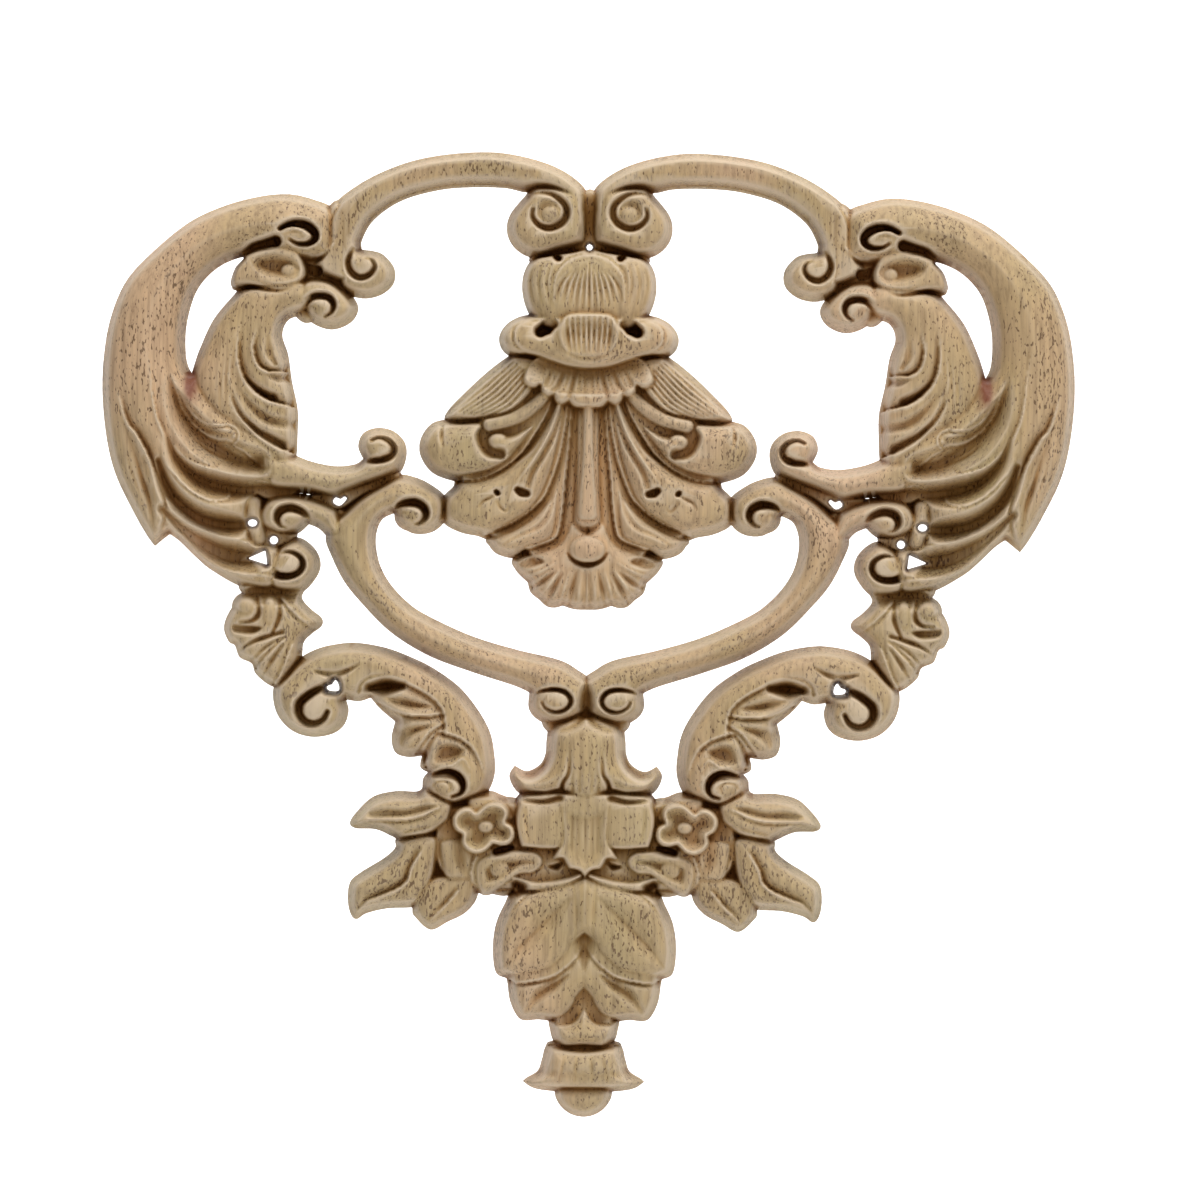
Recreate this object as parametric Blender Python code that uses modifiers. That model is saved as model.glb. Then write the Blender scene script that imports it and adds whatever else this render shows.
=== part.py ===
# Carved wood applique: one openwork ornament carved in relief from a single board, flat behind.
# Every outline is drawn in millimetres on the half board: (distance from the centre line, height),
# with the zero point at the middle of the shell, and heights of wood are measured from the flat back.
# A point written twice in a row is a sharp corner; the curves run smoothly through all other points.
import math

import bmesh
import bpy
import numpy as np
from mathutils import Vector
from mathutils.geometry import delaunay_2d_cdt

MM = 0.001
CELL = 0.5
HALF_WIDTH = 98.5
TOP = 66.5
BOTTOM = -128.5
CURVE_STEP = 0.7
DRAFT = 4.5
STEEP = 8.0
THINNEST = 2.0
WEB_HEIGHT = 2.8
VOID = -9.0
RIM_MARGIN = 0.1
FACES_WANTED = 8600
CHORD_RISE = 0.0005
WHOLE_HULL = 0
MERGE_DISTANCE = 0.000001
SEAM_DISTANCE = 0.00001
SHARP_ANGLE = math.radians(50)
WOOD_COLOUR = (0.53, 0.40, 0.27, 1.0)
WOOD_ROUGHNESS = 0.62

U_LINE = np.arange(0.0, HALF_WIDTH, CELL)
Z_LINE = np.arange(BOTTOM, TOP, CELL)
U_GRID, Z_GRID = np.meshgrid(U_LINE, Z_LINE)


def curve(points, closed=False):
    """Smooth line through hand-chosen points; a point written twice stays a corner."""
    count = len(points)
    spans = count if closed else count - 1
    line = []
    for i in range(spans):
        here = np.array(points[i], float)
        after = np.array(points[(i + 1) % count], float)
        if np.allclose(here, after):
            continue
        before = np.array(points[i - 1] if closed or i else points[i], float)
        beyond = np.array(points[(i + 2) % count] if closed or i + 2 < count else after, float)
        steps = max(2, math.ceil(np.linalg.norm(after - here) / CURVE_STEP))
        leave = (after - before) / 2
        arrive = (beyond - here) / 2
        for k in range(steps):
            t = k / steps
            line.append((2 * t**3 - 3 * t**2 + 1) * here + (t**3 - 2 * t**2 + t) * leave
                        + (3 * t**2 - 2 * t**3) * after + (t**3 - t**2) * arrive)
    if not closed:
        line.append(np.array(points[-1], float))
    return np.array(line)


def mirrored(points):
    """Whole outline of a shape that crosses the centre line, from its half, top to bottom."""
    inner = [p for p in points if p[0] > 0]
    return list(points) + [(-u, z) for u, z in reversed(inner)]


def arc(centre, radii, start, end, count=8):
    """Points on an ellipse between two angles in degrees."""
    angles = np.radians(np.linspace(start, end, count))
    return [(centre[0] + radii[0] * math.cos(a), centre[1] + radii[1] * math.sin(a)) for a in angles]


def between(first, last, share):
    """A path part of the way from one path to another with as many points."""
    return [(a[0] + share * (b[0] - a[0]), a[1] + share * (b[1] - a[1])) for a, b in zip(first, last)]


def window(line, margin):
    """The rows and columns of the board that lie near a line."""
    low = line.min(axis=0) - margin
    high = line.max(axis=0) + margin
    rows = slice(*np.searchsorted(Z_LINE, (low[1], high[1])))
    cols = slice(*np.searchsorted(U_LINE, (low[0], high[0])))
    return rows, cols


def nearest(line, area, closed=False):
    """How far each point of an area is from a line, how far along it, and whether on its left."""
    u = U_GRID[area]
    z = Z_GRID[area]
    ends = np.vstack([line, line[:1]]) if closed else line
    lengths = np.linalg.norm(np.diff(ends, axis=0), axis=1)
    marks = np.concatenate([[0.0], np.cumsum(lengths)]) / lengths.sum()
    best = np.full(u.shape, np.inf)
    along = np.zeros(u.shape)
    left = np.zeros(u.shape, bool)
    for a, b, low, high in zip(ends, ends[1:], marks, marks[1:]):
        run = b - a
        t = np.clip(((u - a[0]) * run[0] + (z - a[1]) * run[1]) / max(run @ run, 1e-9), 0, 1)
        away = np.hypot(u - a[0] - t * run[0], z - a[1] - t * run[1])
        closer = away < best
        best = np.where(closer, away, best)
        along = np.where(closer, low + t * (high - low), along)
        left = np.where(closer, run[0] * (z - a[1]) > run[1] * (u - a[0]), left)
    return best, along, left


def depth_inside(outline, area):
    """Distance inside a closed outline, negative outside it."""
    u = U_GRID[area]
    z = Z_GRID[area]
    odd = np.zeros(u.shape, bool)
    for a, b in zip(outline, np.roll(outline, -1, axis=0)):
        if a[1] != b[1]:
            crossing = a[0] + (z - a[1]) * (b[0] - a[0]) / (b[1] - a[1])
            odd ^= ((a[1] > z) != (b[1] > z)) & (u < crossing)
    away = nearest(outline, area, closed=True)[0]
    return np.where(odd, away, -away)


def spread(values, along):
    """A size that changes evenly along a path, or one size all along it."""
    values = np.atleast_1d(values)
    return np.interp(along, np.linspace(0, 1, len(values)), values)


class Layer:
    """Heights of wood above the flat back; below zero there is none."""

    def __init__(self):
        self.height = np.full(U_GRID.shape, VOID)

    def join(self, other):
        self.height = np.maximum(self.height, other.height)

    def pillow(self, points, edge, crest, reach, base=0):
        """A body with steep sides from its outline at base up to edge, then rounded up to crest."""
        outline = curve(points, closed=True)
        area = window(outline, 2.0)
        inside = depth_inside(outline, area)
        slope = STEEP if base else DRAFT
        t = np.clip((inside - (edge - base) / slope) / reach, 0, 1)
        top = edge + (crest - edge) * np.sqrt(1 - (1 - t)**2)
        self.height[area] = np.maximum(self.height[area], np.minimum(base + slope * inside, top))

    def band(self, points, widths, edge, crest):
        """A rounded strand of half widths that change along its path."""
        line = curve(points)
        area = window(line, np.max(widths) + 3.0)
        away, along, _ = nearest(line, area)
        width = spread(widths, along)
        crests = spread(crest, along)
        edges = np.minimum(spread(edge, along), crests)
        share = np.clip(away / width, 0, 1)
        top = edges + (crests - edges) * np.sqrt(1 - share**2)
        side = edges - DRAFT * (away - width)
        self.height[area] = np.maximum(self.height[area], np.where(away < width, top, side))

    def bead(self, centre, radii, edge, top):
        """A round or oval knob."""
        area = window(np.array([centre]), max(radii) + 2.0)
        out = np.hypot((U_GRID[area] - centre[0]) / radii[0], (Z_GRID[area] - centre[1]) / radii[1])
        dome = edge + (top - edge) * np.sqrt(np.clip(1 - out**2, 0, 1))
        side = edge - DRAFT * (out - 1) * min(radii)
        self.height[area] = np.maximum(self.height[area], np.where(out < 1, dome, side))

    def lower(self, area, heights):
        """Cuts down to these heights, but never through the wood."""
        here = self.height[area]
        cut = np.maximum(heights, np.minimum(here, THINNEST))
        self.height[area] = np.where(here > 0, np.minimum(here, cut), here)

    def groove(self, points, widths, depth):
        """A soft-sided cut of a given depth below the surface."""
        line = curve(points)
        area = window(line, np.max(widths) + 1.0)
        away, along, _ = nearest(line, area)
        t = np.clip(1 - away / spread(widths, along), 0, 1)
        self.lower(area, self.height[area] - spread(depth, along) * t * t * (3 - 2 * t))

    def ridge(self, points, widths, rise):
        """A thin raised line."""
        line = curve(points)
        area = window(line, np.max(widths) + 1.0)
        away, along, _ = nearest(line, area)
        t = np.clip(1 - away / spread(widths, along), 0, 1)
        lift = spread(rise, along) * t * t * (3 - 2 * t)
        self.height[area] += np.where(self.height[area] > THINNEST, lift, 0)

    def lap(self, points, rise, reach, drop, foot):
        """A crisp overlap: the wood lifts towards the path on its left and drops beyond it."""
        line = curve(points)
        area = window(line, max(reach, foot) + 0.5)
        away, along, left = nearest(line, area)
        lift = np.where(left, spread(rise, along) * np.clip(1 - away / reach, 0, 1)**2, 0)
        self.height[area] += np.where(self.height[area] > THINNEST, lift, 0)
        fall = np.where(left, 0, spread(drop, along) * np.clip(1 - away / foot, 0, 1)**2)
        self.lower(area, self.height[area] - fall)

    def channel(self, points, widths, floor, wall=STEEP):
        """A trench with a flat floor at a given height above the back and steep walls."""
        line = curve(points)
        area = window(line, np.max(widths) + 4.0)
        away, along, _ = nearest(line, area)
        outside = np.maximum(away - spread(widths, along), 0)
        self.lower(area, spread(floor, along) + wall * outside)

    def dish(self, points, depth, reach):
        """A hollow with this outline, falling softly over reach."""
        outline = curve(points, closed=True)
        area = window(outline, 1.0)
        t = np.clip(depth_inside(outline, area) / reach, 0, 1)
        self.lower(area, self.height[area] - depth * t * t * (3 - 2 * t))

    def pierce(self, points):
        """A hole right through."""
        outline = curve(points, closed=True)
        area = window(outline, 1.5)
        self.height[area] = np.minimum(self.height[area], -DRAFT * depth_inside(outline, area))


def arch(wood):
    """Flat arched band across the top, rolled into a volute beside the centre line and at its foot."""
    part = Layer()
    part.pillow([(50.6, 51), (51, 54.5), (48.9, 56.9), (43.2, 60.5), (36, 63.4), (28.4, 64.9), (20, 65.4),
                 (13.2, 64.5), (7.1, 62.6), (2.5, 59.8), (0.5, 57), (0.3, 52), (0.3, 49), (3.4, 50),
                 (3.9, 53), (5, 55.6), (7.4, 57.2), (10, 57.7), (13, 57.4), (17, 58.2), (24, 58.3),
                 (30.7, 57.6), (37.9, 55.4), (43.2, 51.6), (45.5, 47.6), (45.6, 45.6), (46.4, 42),
                 (47, 38), (50, 38), (50.6, 44)], 4.8, 7.6, 0.7)
    part.pillow([(0.3, 54), (0.3, 48), (2, 46.4), (6, 45.2), (9.5, 44.2), (13, 44.8), (15.6, 47),
                 (16.6, 50),
                 (15.8, 53.2), (12.9, 56.8), (12.9, 56.8), (11, 58.8), (6, 59), (2, 58)], 5, 8.4, 2.4)
    part.pillow([(48.6, 47), (45.6, 45.8), (43.4, 45.5), (41.2, 44.7), (39, 42), (39.2, 38.8), (42, 36.5),
                 (46, 36), (50, 38), (50.4, 43)], 4.8, 8, 2.2)
    part.pillow([(45, 58), (49.8, 55.8), (51.8, 53.6), (52.8, 51), (53, 47), (54, 44.6), (55.4, 42.8),
                 (54, 40.4),
                 (50, 38.6), (47.6, 38), (47.2, 42), (46.4, 48), (44.4, 53)], 4.8, 7.6, 0.7)
    part.channel([(13.2, 57.2), (11.6, 56.8), (10, 57.2), (7.5, 56.7), (5.2, 55), (4.6, 52.9), (5.6, 51),
                  (7.9, 50), (10.1, 50.6), (11.4, 52.2), (11.3, 53.8)], (0.1, 0.2, 0.35, 0.35, 0.1),
                 (6, 5.8, 5.6, 5.6, 6.6), 5)
    part.dish([(10.9, 53.2), (10, 55.6), (7.9, 56.2), (5.6, 55.4), (4.9, 53), (5.7, 51), (7.9, 50.3),
               (10.2, 51.1)],
              1.3, 1.3)
    part.bead((7.9, 52.7), (2.1, 1.9), 6.6, 8.5)
    part.channel([(46.8, 46), (47.7, 44.4), (48.1, 42.7), (47.4, 40.9), (45.7, 39.9), (43.8, 40.5),
                  (42.8, 42), (43.4, 43.4), (44.6, 43.9)], (0.1, 0.3, 0.4, 0.35, 0.2, 0.1),
                  (5.4, 5, 5, 6.2), 7)
    part.bead((45.5, 42.3), (1.5, 1.4), 6.8, 7.9)
    part.channel([(0, 58), (0, 52), (0, 46)], (0.2, 0.35, 0.8), (5.4, 4, 3), 2.4)
    wood.join(part)


def bulb(wood):
    """Swelling bud between the volutes and the collar, with a finely scored petal in front."""
    part = Layer()
    part.pillow(mirrored([(0, 45.8), (4, 45.2), (8, 44.6), (10.8, 43.8), (12.4, 41.6), (12.9, 38.4),
                          (12.3, 35.1), (10.9, 32.4), (8, 30), (0, 29)]), 7, 10.8, 5.4, 4.5)
    part.lap([(7.2, 35), (7.3, 38), (6.6, 41), (4.6, 43.4), (2, 44.6), (-1, 44.8)], (0.1, 0.5), 1.2,
             (0.3, 1.2, 0.6), 1.4)
    for top, foot in ((0, 0), (0.5, 1.3), (1.0, 2.6), (1.6, 3.9), (2.4, 5.2), (3.4, 6.6)):
        part.groove([(top, 43.2 - 0.5 * top), (0.55 * (top + foot), 39), (foot, 33.4 + 0.3 * foot)],
                    (0.15, 0.4, 0.3), (0.4, 1.2, 0.2))
    wood.join(part)
    wood.groove([(2, 45.7), (7, 44.9), (11.4, 44)], (0.3, 0.5, 0.4), (0.4, 0.8, 0.6))
    wood.channel([(6.7, 44.5), (6.2, 44.1)], 0.3, 3, 9)


def collar(wood):
    """Rolled collar round the bud, with a striped cup in front and a deep pit each side of the cup."""
    part = Layer()
    part.pillow(mirrored([(0, 33), (8, 32.8), (11.4, 32.5), (14, 31.9), (16.2, 30.5), (17.4, 28.4),
                          (16.9, 26.2), (15, 24.9), (11.4, 24.4), (8, 23.2), (4, 22), (0, 21.6)]),
                8, 12, 3, 4.5)
    part.lap([(12.4, 25.2), (14.2, 26.4), (15, 28.4), (14.2, 30.4), (12.2, 31.6)], (0.4, 0.7, 0.4), 1.4,
             (0.5, 1.2, 0.5), 1.0)
    part.groove([(16, 30), (16.5, 28.2), (15.8, 26.4)], (0.2, 0.5, 0.2), (0.3, 0.7, 0.3))
    part.groove([(12.6, 32), (9.6, 31.4), (7.4, 32.2)], (0.4, 0.8), (0.4, 1.2))
    part.pillow(mirrored([(0, 33.2), (4, 32.9), (5.6, 31.6), (6.5, 29), (5.4, 25.8), (3, 24.2), (0, 23.8)]),
                12.2, 12.7, 0.6, 9)
    part.dish(mirrored([(0, 32.2), (3.6, 31.9), (4.9, 30.8), (5.6, 29), (4.8, 25.2), (2.8, 23.4),
                        (0, 22.8)]),
              1.0, 1.4)
    part.channel([(9.6, 29.3), (8.6, 30), (7.3, 30.8)], (0.5, 0.8, 0.3), 3, 9)
    wood.join(part)


def skirt(wood):
    """Scalloped frill that hangs from the collar over the top of the shell."""
    part = Layer()
    part.pillow(mirrored([(0, 24), (9, 24.4), (11.8, 22.6), (13, 20), (12.4, 18.7), (11, 18.2),
                          (9.6, 18.7), (9.6, 18.7),
                          (9.2, 17.2), (8.1, 16.5), (6.9, 16.8), (6.9, 16.8), (6.4, 15.5), (5.2, 15),
                          (3.9, 15.6), (3.9, 15.6), (2.6, 14.5), (0, 14.2)]), 10, 11.2, 1.2, 8)
    part.channel([(12.6, 24.2), (8, 22.8), (4, 21.6), (0, 21.2)], 0.2, (8, 7.4, 7, 7), 0.8)
    for top, foot in ((2.6, 3.8), (5, 6.9), (7.4, 9.8)):
        part.groove([(top, 21.4), (0.5 * (top + foot), 18.8), (foot, 15.2 + 0.35 * foot)], (0.5, 0.8, 0.8),
                    (0.3, 1, 1))
    wood.join(part)


def shell_side_wing(wood):
    """Finely fluted upper flank of the shell, with a plain fold along its lower edge."""
    part = Layer()
    part.pillow([(14, 25.5), (17, 24), (21, 20.8), (25.2, 16.8), (28, 13.8), (28.7, 11.8), (26, 10.6),
                 (20, 11), (14, 12.4), (10, 17), (9, 24)], 5, 8.2, 2)
    upper = [(28, 13.8), (21.9, 19), (15.8, 24.2)]
    lower = [(20.8, 12), (15.4, 14.4), (11, 19.8)]
    for count in range(8):
        part.groove(between(upper, lower, (count + 0.5) / 8), (0.3, 0.4, 0.35), (0.6, 1.2, 1.0))
    part.band([(7.4, 18.4), (10.4, 15), (14.6, 12.2), (19.6, 10.8)], (1.2, 1.5, 1.5), 5.6, 8.4)
    part.groove([(26.8, 12.2), (21, 12), (15.4, 13.6), (10.8, 17.6)], (0.3, 0.6), (0.6, 1.2))
    wood.join(part)


def shell_bed(wood):
    """Low body under the shell's lobes, which keeps the valleys between them shallow."""
    part = Layer()
    part.pillow(mirrored([(0, 24), (12, 23), (17, 19), (24, 11), (31, 9), (31.6, 4), (26, 0), (27.6, -3.6),
                          (27.4, -7.6), (22, -10), (18.6, -12.6), (13, -14.6), (10, -19), (6, -23),
                          (0, -24)]),
                5.8, 5.8, 1)
    wood.join(part)


def shell_lobe_one(wood):
    """Broad upper lobe of the shell, with a hooked channel that frees its curled inner lip."""
    part = Layer()
    part.pillow([(28.6, 11.9), (31.5, 10.9), (33.5, 8), (33.6, 4.8), (31.6, 1.6), (28.5, 0), (24.5, -0.6),
                 (19, 0.6), (14.8, 3.2), (11.6, 6.8), (9, 11.2), (6.8, 16.6), (9.5, 18.4), (12, 13.4),
                 (16, 10.4), (19.6, 10.6), (21, 12.2), (25, 12.2)], 5.4, 9.4, 3.6)
    part.channel([(8.6, 17), (9.7, 14.2), (11.6, 11.6), (14.6, 10.2), (18, 9.9), (20.2, 9), (20.2, 7),
                  (19.2, 5.5), (17.4, 4.9)], (0.1, 0.2, 0.5, 0.8, 0.8, 0.4, 0.2), (6.4, 5, 3.8, 3.2, 4.6),
                  3.4)
    part.lap([(18.6, 8.7), (15.6, 9), (12.8, 9.6), (10, 11.5), (8, 14.6), (6.8, 17)], (0.3, 0.6, 0.4),
             1.2, 0.4, 0.7)
    part.bead((17.9, 7.5), (1.8, 1.4), 7.4, 9)
    part.groove([(28.9, 10.6), (29.2, 8.6), (28.9, 6.4)], (0.3, 0.6, 0.3), (0.8, 1.6, 0.5))
    part.groove([(17.6, 3.8), (13.6, 6.6), (10.6, 10.6), (8, 15.4)], (0.5, 1.1, 0.8), (0.3, 0.9, 0.7))
    wood.join(part)


def shell_lobe_two(wood):
    """Middle lobe of the shell, fluted near its root and nicked by small leaf cuts."""
    part = Layer()
    part.pillow([(25.4, 0.4), (27, -1.6), (28.9, -3.6), (29.3, -6.4), (28.6, -9), (25.4, -10.7),
                 (22, -11.4), (19.6, -11.9), (14.6, -9.6), (11, -7.2), (8.2, -3.6), (6, 2), (4.6, 8),
                 (3.6, 15.6), (6.8, 17), (8.6, 13.4), (11.4, 9.2), (14.8, 5.2), (19, 2.2)], 5.2, 9, 3.4)
    part.groove([(4.9, 15.6), (6.4, 10), (8.6, 5.4), (11, 1.4), (12, -1.6)], (0.4, 0.9, 0.9),
                (0.8, 1.8, 1.2))
    part.groove([(6.6, 15.4), (8.8, 10), (12, 5.6), (16, 2.8), (20, 0.6)], (0.4, 0.9, 0.4), (0.8, 1.5, 0.3))
    part.ridge([(5.8, 15.4), (7.6, 9.6), (10.2, 4.8), (13.2, 0.6), (14.2, -1.2)], (0.4, 0.6, 0.4),
               (0.5, 0.9, 0.3))
    part.channel([(13.9, -2.2), (13.1, -2.7), (12.2, -2.9)], (0.1, 0.35, 0.2), 3.4)
    part.channel([(18.2, -2.6), (17.9, -2.9)], 0.2, 6)
    part.groove([(21.6, -5.8), (20.9, -4.6), (19.4, -3.8), (18.2, -3.2)], 0.45, (0.3, 1.1, 0.5))
    part.groove([(18, -4.4), (17.4, -5.6), (16.4, -6.4), (15.8, -5.8)], 0.45, (0.3, 1.0, 0.3))
    wood.join(part)
    wood.lap([(27, -0.4), (22, -0.2), (17.3, 1.6), (13.4, 4.8), (10.6, 8.8), (8.1, 13.2), (6.7, 17)][::-1],
             (0.4, 0.7), 1.0, (0.8, 1.4, 1.8, 1.6), 2.4)


def shell_lobe_three(wood):
    """Narrow third lobe of the shell."""
    part = Layer()
    part.pillow([(20, -11.4), (19.6, -13.4), (18, -15), (14.7, -15.8), (12, -14.8), (8, -13.4),
                 (5.9, -11.6), (5.1, -8), (4.6, -2), (3.8, 6), (3.2, 14), (3.9, 14.5), (4.8, 9.5),
                 (6.4, 2), (8.4, -3), (11.4, -6.6), (15, -9)], 5, 8.4, 2.6)
    part.groove([(16.6, -13), (13.4, -11.2), (9.6, -9.4), (7.4, -6), (6, 0)], (0.3, 0.9, 0.7),
                (0.4, 1.0, 0.9))
    wood.join(part)
    wood.lap([(20.2, -11.2), (17.6, -10), (14.8, -8.8), (11.8, -6.8), (9.2, -4.4), (7.6, -1.4), (5.7, 4),
              (4.5, 10), (3.9, 15)][::-1], (0.4, 0.8), 1.0, (0.6, 1.3, 1.6, 1.4), 2)


def shell_foot(wood):
    """Lower fan of the shell with its central rib and bead."""
    part = Layer()
    part.pillow(mirrored([(0, 16), (3.2, 14.6), (4, 6), (4.6, -2), (5, -8), (6.4, -12), (10, -13.6),
                          (14.9, -15.8), (14.3, -18.2), (11.9, -20.6), (11.9, -20.6), (11.3, -22.6),
                          (9.6, -24), (9.6, -24), (8, -25.4), (6.2, -25.6), (4.9, -25.2), (4.9, -25.2),
                          (2.6, -25.9), (0, -26)]), 4.8, 8, 3)
    part.groove([(2.5, 14), (2.8, 2), (3.5, -8), (5, -12)], (0.5, 1.0, 1.2, 0.6), (1, 2, 2.2, 0.8))
    part.dish([(13.8, -16.4), (13.4, -17.8), (11, -18), (8.4, -16.8), (9, -15.6), (11.4, -15.2)], 2.4, 0.9)
    part.groove([(11.4, -21.8), (9.4, -20.8), (6.6, -18.6)], (0.7, 0.9, 0.4), (1.4, 2, 0.5))
    part.groove([(8.2, -24.6), (6.8, -22), (5, -18.8)], (0.6, 0.9, 0.4), (1.0, 1.6, 0.5))
    part.groove([(3.6, -25.4), (3, -22), (2.2, -18.4)], (0.5, 0.9, 0.4), (0.8, 1.4, 0.5))
    part.groove([(0.6, -25.2), (0.4, -19)], (0.6, 0.4), (0.9, 0.5))
    for path in ([(13, -19.6), (9.6, -18.6), (6, -16.6)], [(10, -23.8), (8, -21.6), (5.4, -18)],
                 [(5.4, -25.2), (4.6, -22), (3.4, -18.2)], [(1.8, -25.6), (1.4, -20)]):
        part.ridge(path, (0.5, 0.6, 0.3), (0.5, 0.7, 0.2))
    part.lap([(3.3, 13.6), (3.9, 6), (4.5, -2), (4.9, -8), (6, -11.4)], (0.3, 0.4), 0.9, (0.6, 0.2), 0.8)
    part.groove([(3, -4), (2.8, -8.2), (1.4, -9.8), (0, -10.2)], (0.8, 1, 1.2), (0.4, 1.2, 1.6))
    part.pillow(mirrored([(0, 15.5), (1.1, 14.8), (1.5, 4), (2.1, -5), (1.9, -7.9), (0, -8.5)]),
                8.6, 10, 1.6, 6)
    part.groove([(0, -9.8), (0, -11)], 0.5, 0.8)
    part.bead((0, -13.9), (3.6, 2.7), 8, 10.4)
    part.groove(arc((0, -13.9), (4, 3.1), -165, -15), (0.4, 0.8, 0.4), (1, 3, 1))
    wood.join(part)
    wood.lap([(14.4, -15.3), (12.2, -14.1), (9.3, -13.2), (6.9, -12.2), (5.6, -10.4), (4.9, -6), (4.4, 0),
              (3.7, 7), (3.3, 14)][::-1], (0.4, 0.8), 0.9, (0.6, 1.4, 1.6, 1.4), 1.8)


def wing_body(wood):
    """Broad wing round the crescent slit, and the breast inside it, each with its own folds."""
    wing = Layer()
    wing.pillow([(50.6, 44), (50.3, 51), (51.6, 54.1), (55, 55.6), (60, 56.7), (66, 56.2), (73, 54.3),
                 (80, 51), (87, 45.3), (92.5, 39.3), (95.6, 32), (97, 24), (97.2, 16), (96.2, 7), (94.3, 0),
                 (90.7, -7.3), (88.2, -11.6), (86.5, -13.9), (86.5, -13.9), (84.7, -12.4), (83.5, -11.5),
                 (83.5, -11.5), (81.4, -13), (78.3, -16), (75, -18.7), (68.6, -22), (62, -22), (61, -14),
                 (66.6, -12), (66.8, -5), (62.5, -2.4), (60, -2), (60, 6), (66, 11), (71, 14.5),
                 (75.5, 18.5),
                 (78.4, 22.4), (79.4, 21), (80.5, 24), (80.5, 30), (79, 36), (76.7, 39.7), (73.3, 42.5),
                 (69.2, 44), (64, 44.4), (57, 43)], 4.6, 10.2, 8)
    feathers(wing)
    wood.join(wing)
    breast = Layer()
    breast.pillow([(56, 39.5), (60, 40.4), (68, 38.6), (70.9, 36.8), (75, 31.7), (77.8, 25.7), (79.5, 20.6),
                   (79, 16.6), (76.4, 12), (72, 8.8), (69, 7), (66, 4), (60, 1.6), (58.4, 4), (58.1, 8.5),
                   (58.1, 13.5), (59.3, 19.3), (60.1, 24.6), (61.3, 28.6), (60, 31.6), (56.5, 32.9),
                   (54, 36)],
                  6.4, 9.2, 4)
    breast_folds(breast)
    wood.join(breast)


def breast_folds(part):
    """Folds that sweep down from the neck across the breast."""
    part.lap([(66, 29), (66.6, 26.4), (66.4, 24), (65.4, 22), (63.4, 21), (60, 21)],
             (0, 0.5, 0.6, 0.4), 1.4, (0.4, 2, 3, 3.6), 2)
    part.groove([(63.8, 28), (63.5, 24.6), (62.4, 22.6)], (0.5, 1.2, 0.7), (0.4, 1.4, 1.6))
    part.groove([(63.8, 20.4), (61.6, 19.7), (59.4, 20)], (0.6, 1.3, 1.4), (0.4, 2.6, 3))
    part.lap([(69.4, 29), (69.7, 25), (69.2, 21.4), (67.8, 18.6), (65.5, 16.5), (63.2, 15.2), (59, 14)],
             (0, 0.4, 0.6, 0.5), 1.8, (0.4, 2, 3.2, 4), 2.4)
    part.groove([(68.4, 20), (66, 17.4), (62.8, 15.9)], (0.5, 1.3, 1.4), (0.4, 1.6, 2.2))
    part.groove([(69.4, 17.2), (67, 14), (63.6, 11.4), (59, 10.4)], (0.5, 1.5, 1.5), (0.3, 1.6, 2))
    part.lap([(71, 17), (70.7, 14.7), (69, 11.7), (66.3, 8.9), (63, 6.6), (58, 4.4)],
             (0, 0.3, 0.5, 0.5), 1.6, (0.4, 2, 3.4, 4.4), 2.4)
    part.groove([(68.4, 12), (65.4, 9), (61, 6.6)], (0.4, 1.2, 1.6), (0.3, 1.4, 2.4))
    part.ridge([(71.7, 20.3), (70.3, 16.3), (68, 12.3), (64.7, 9)], 0.8, (0.2, 0.7, 0.3))


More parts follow.
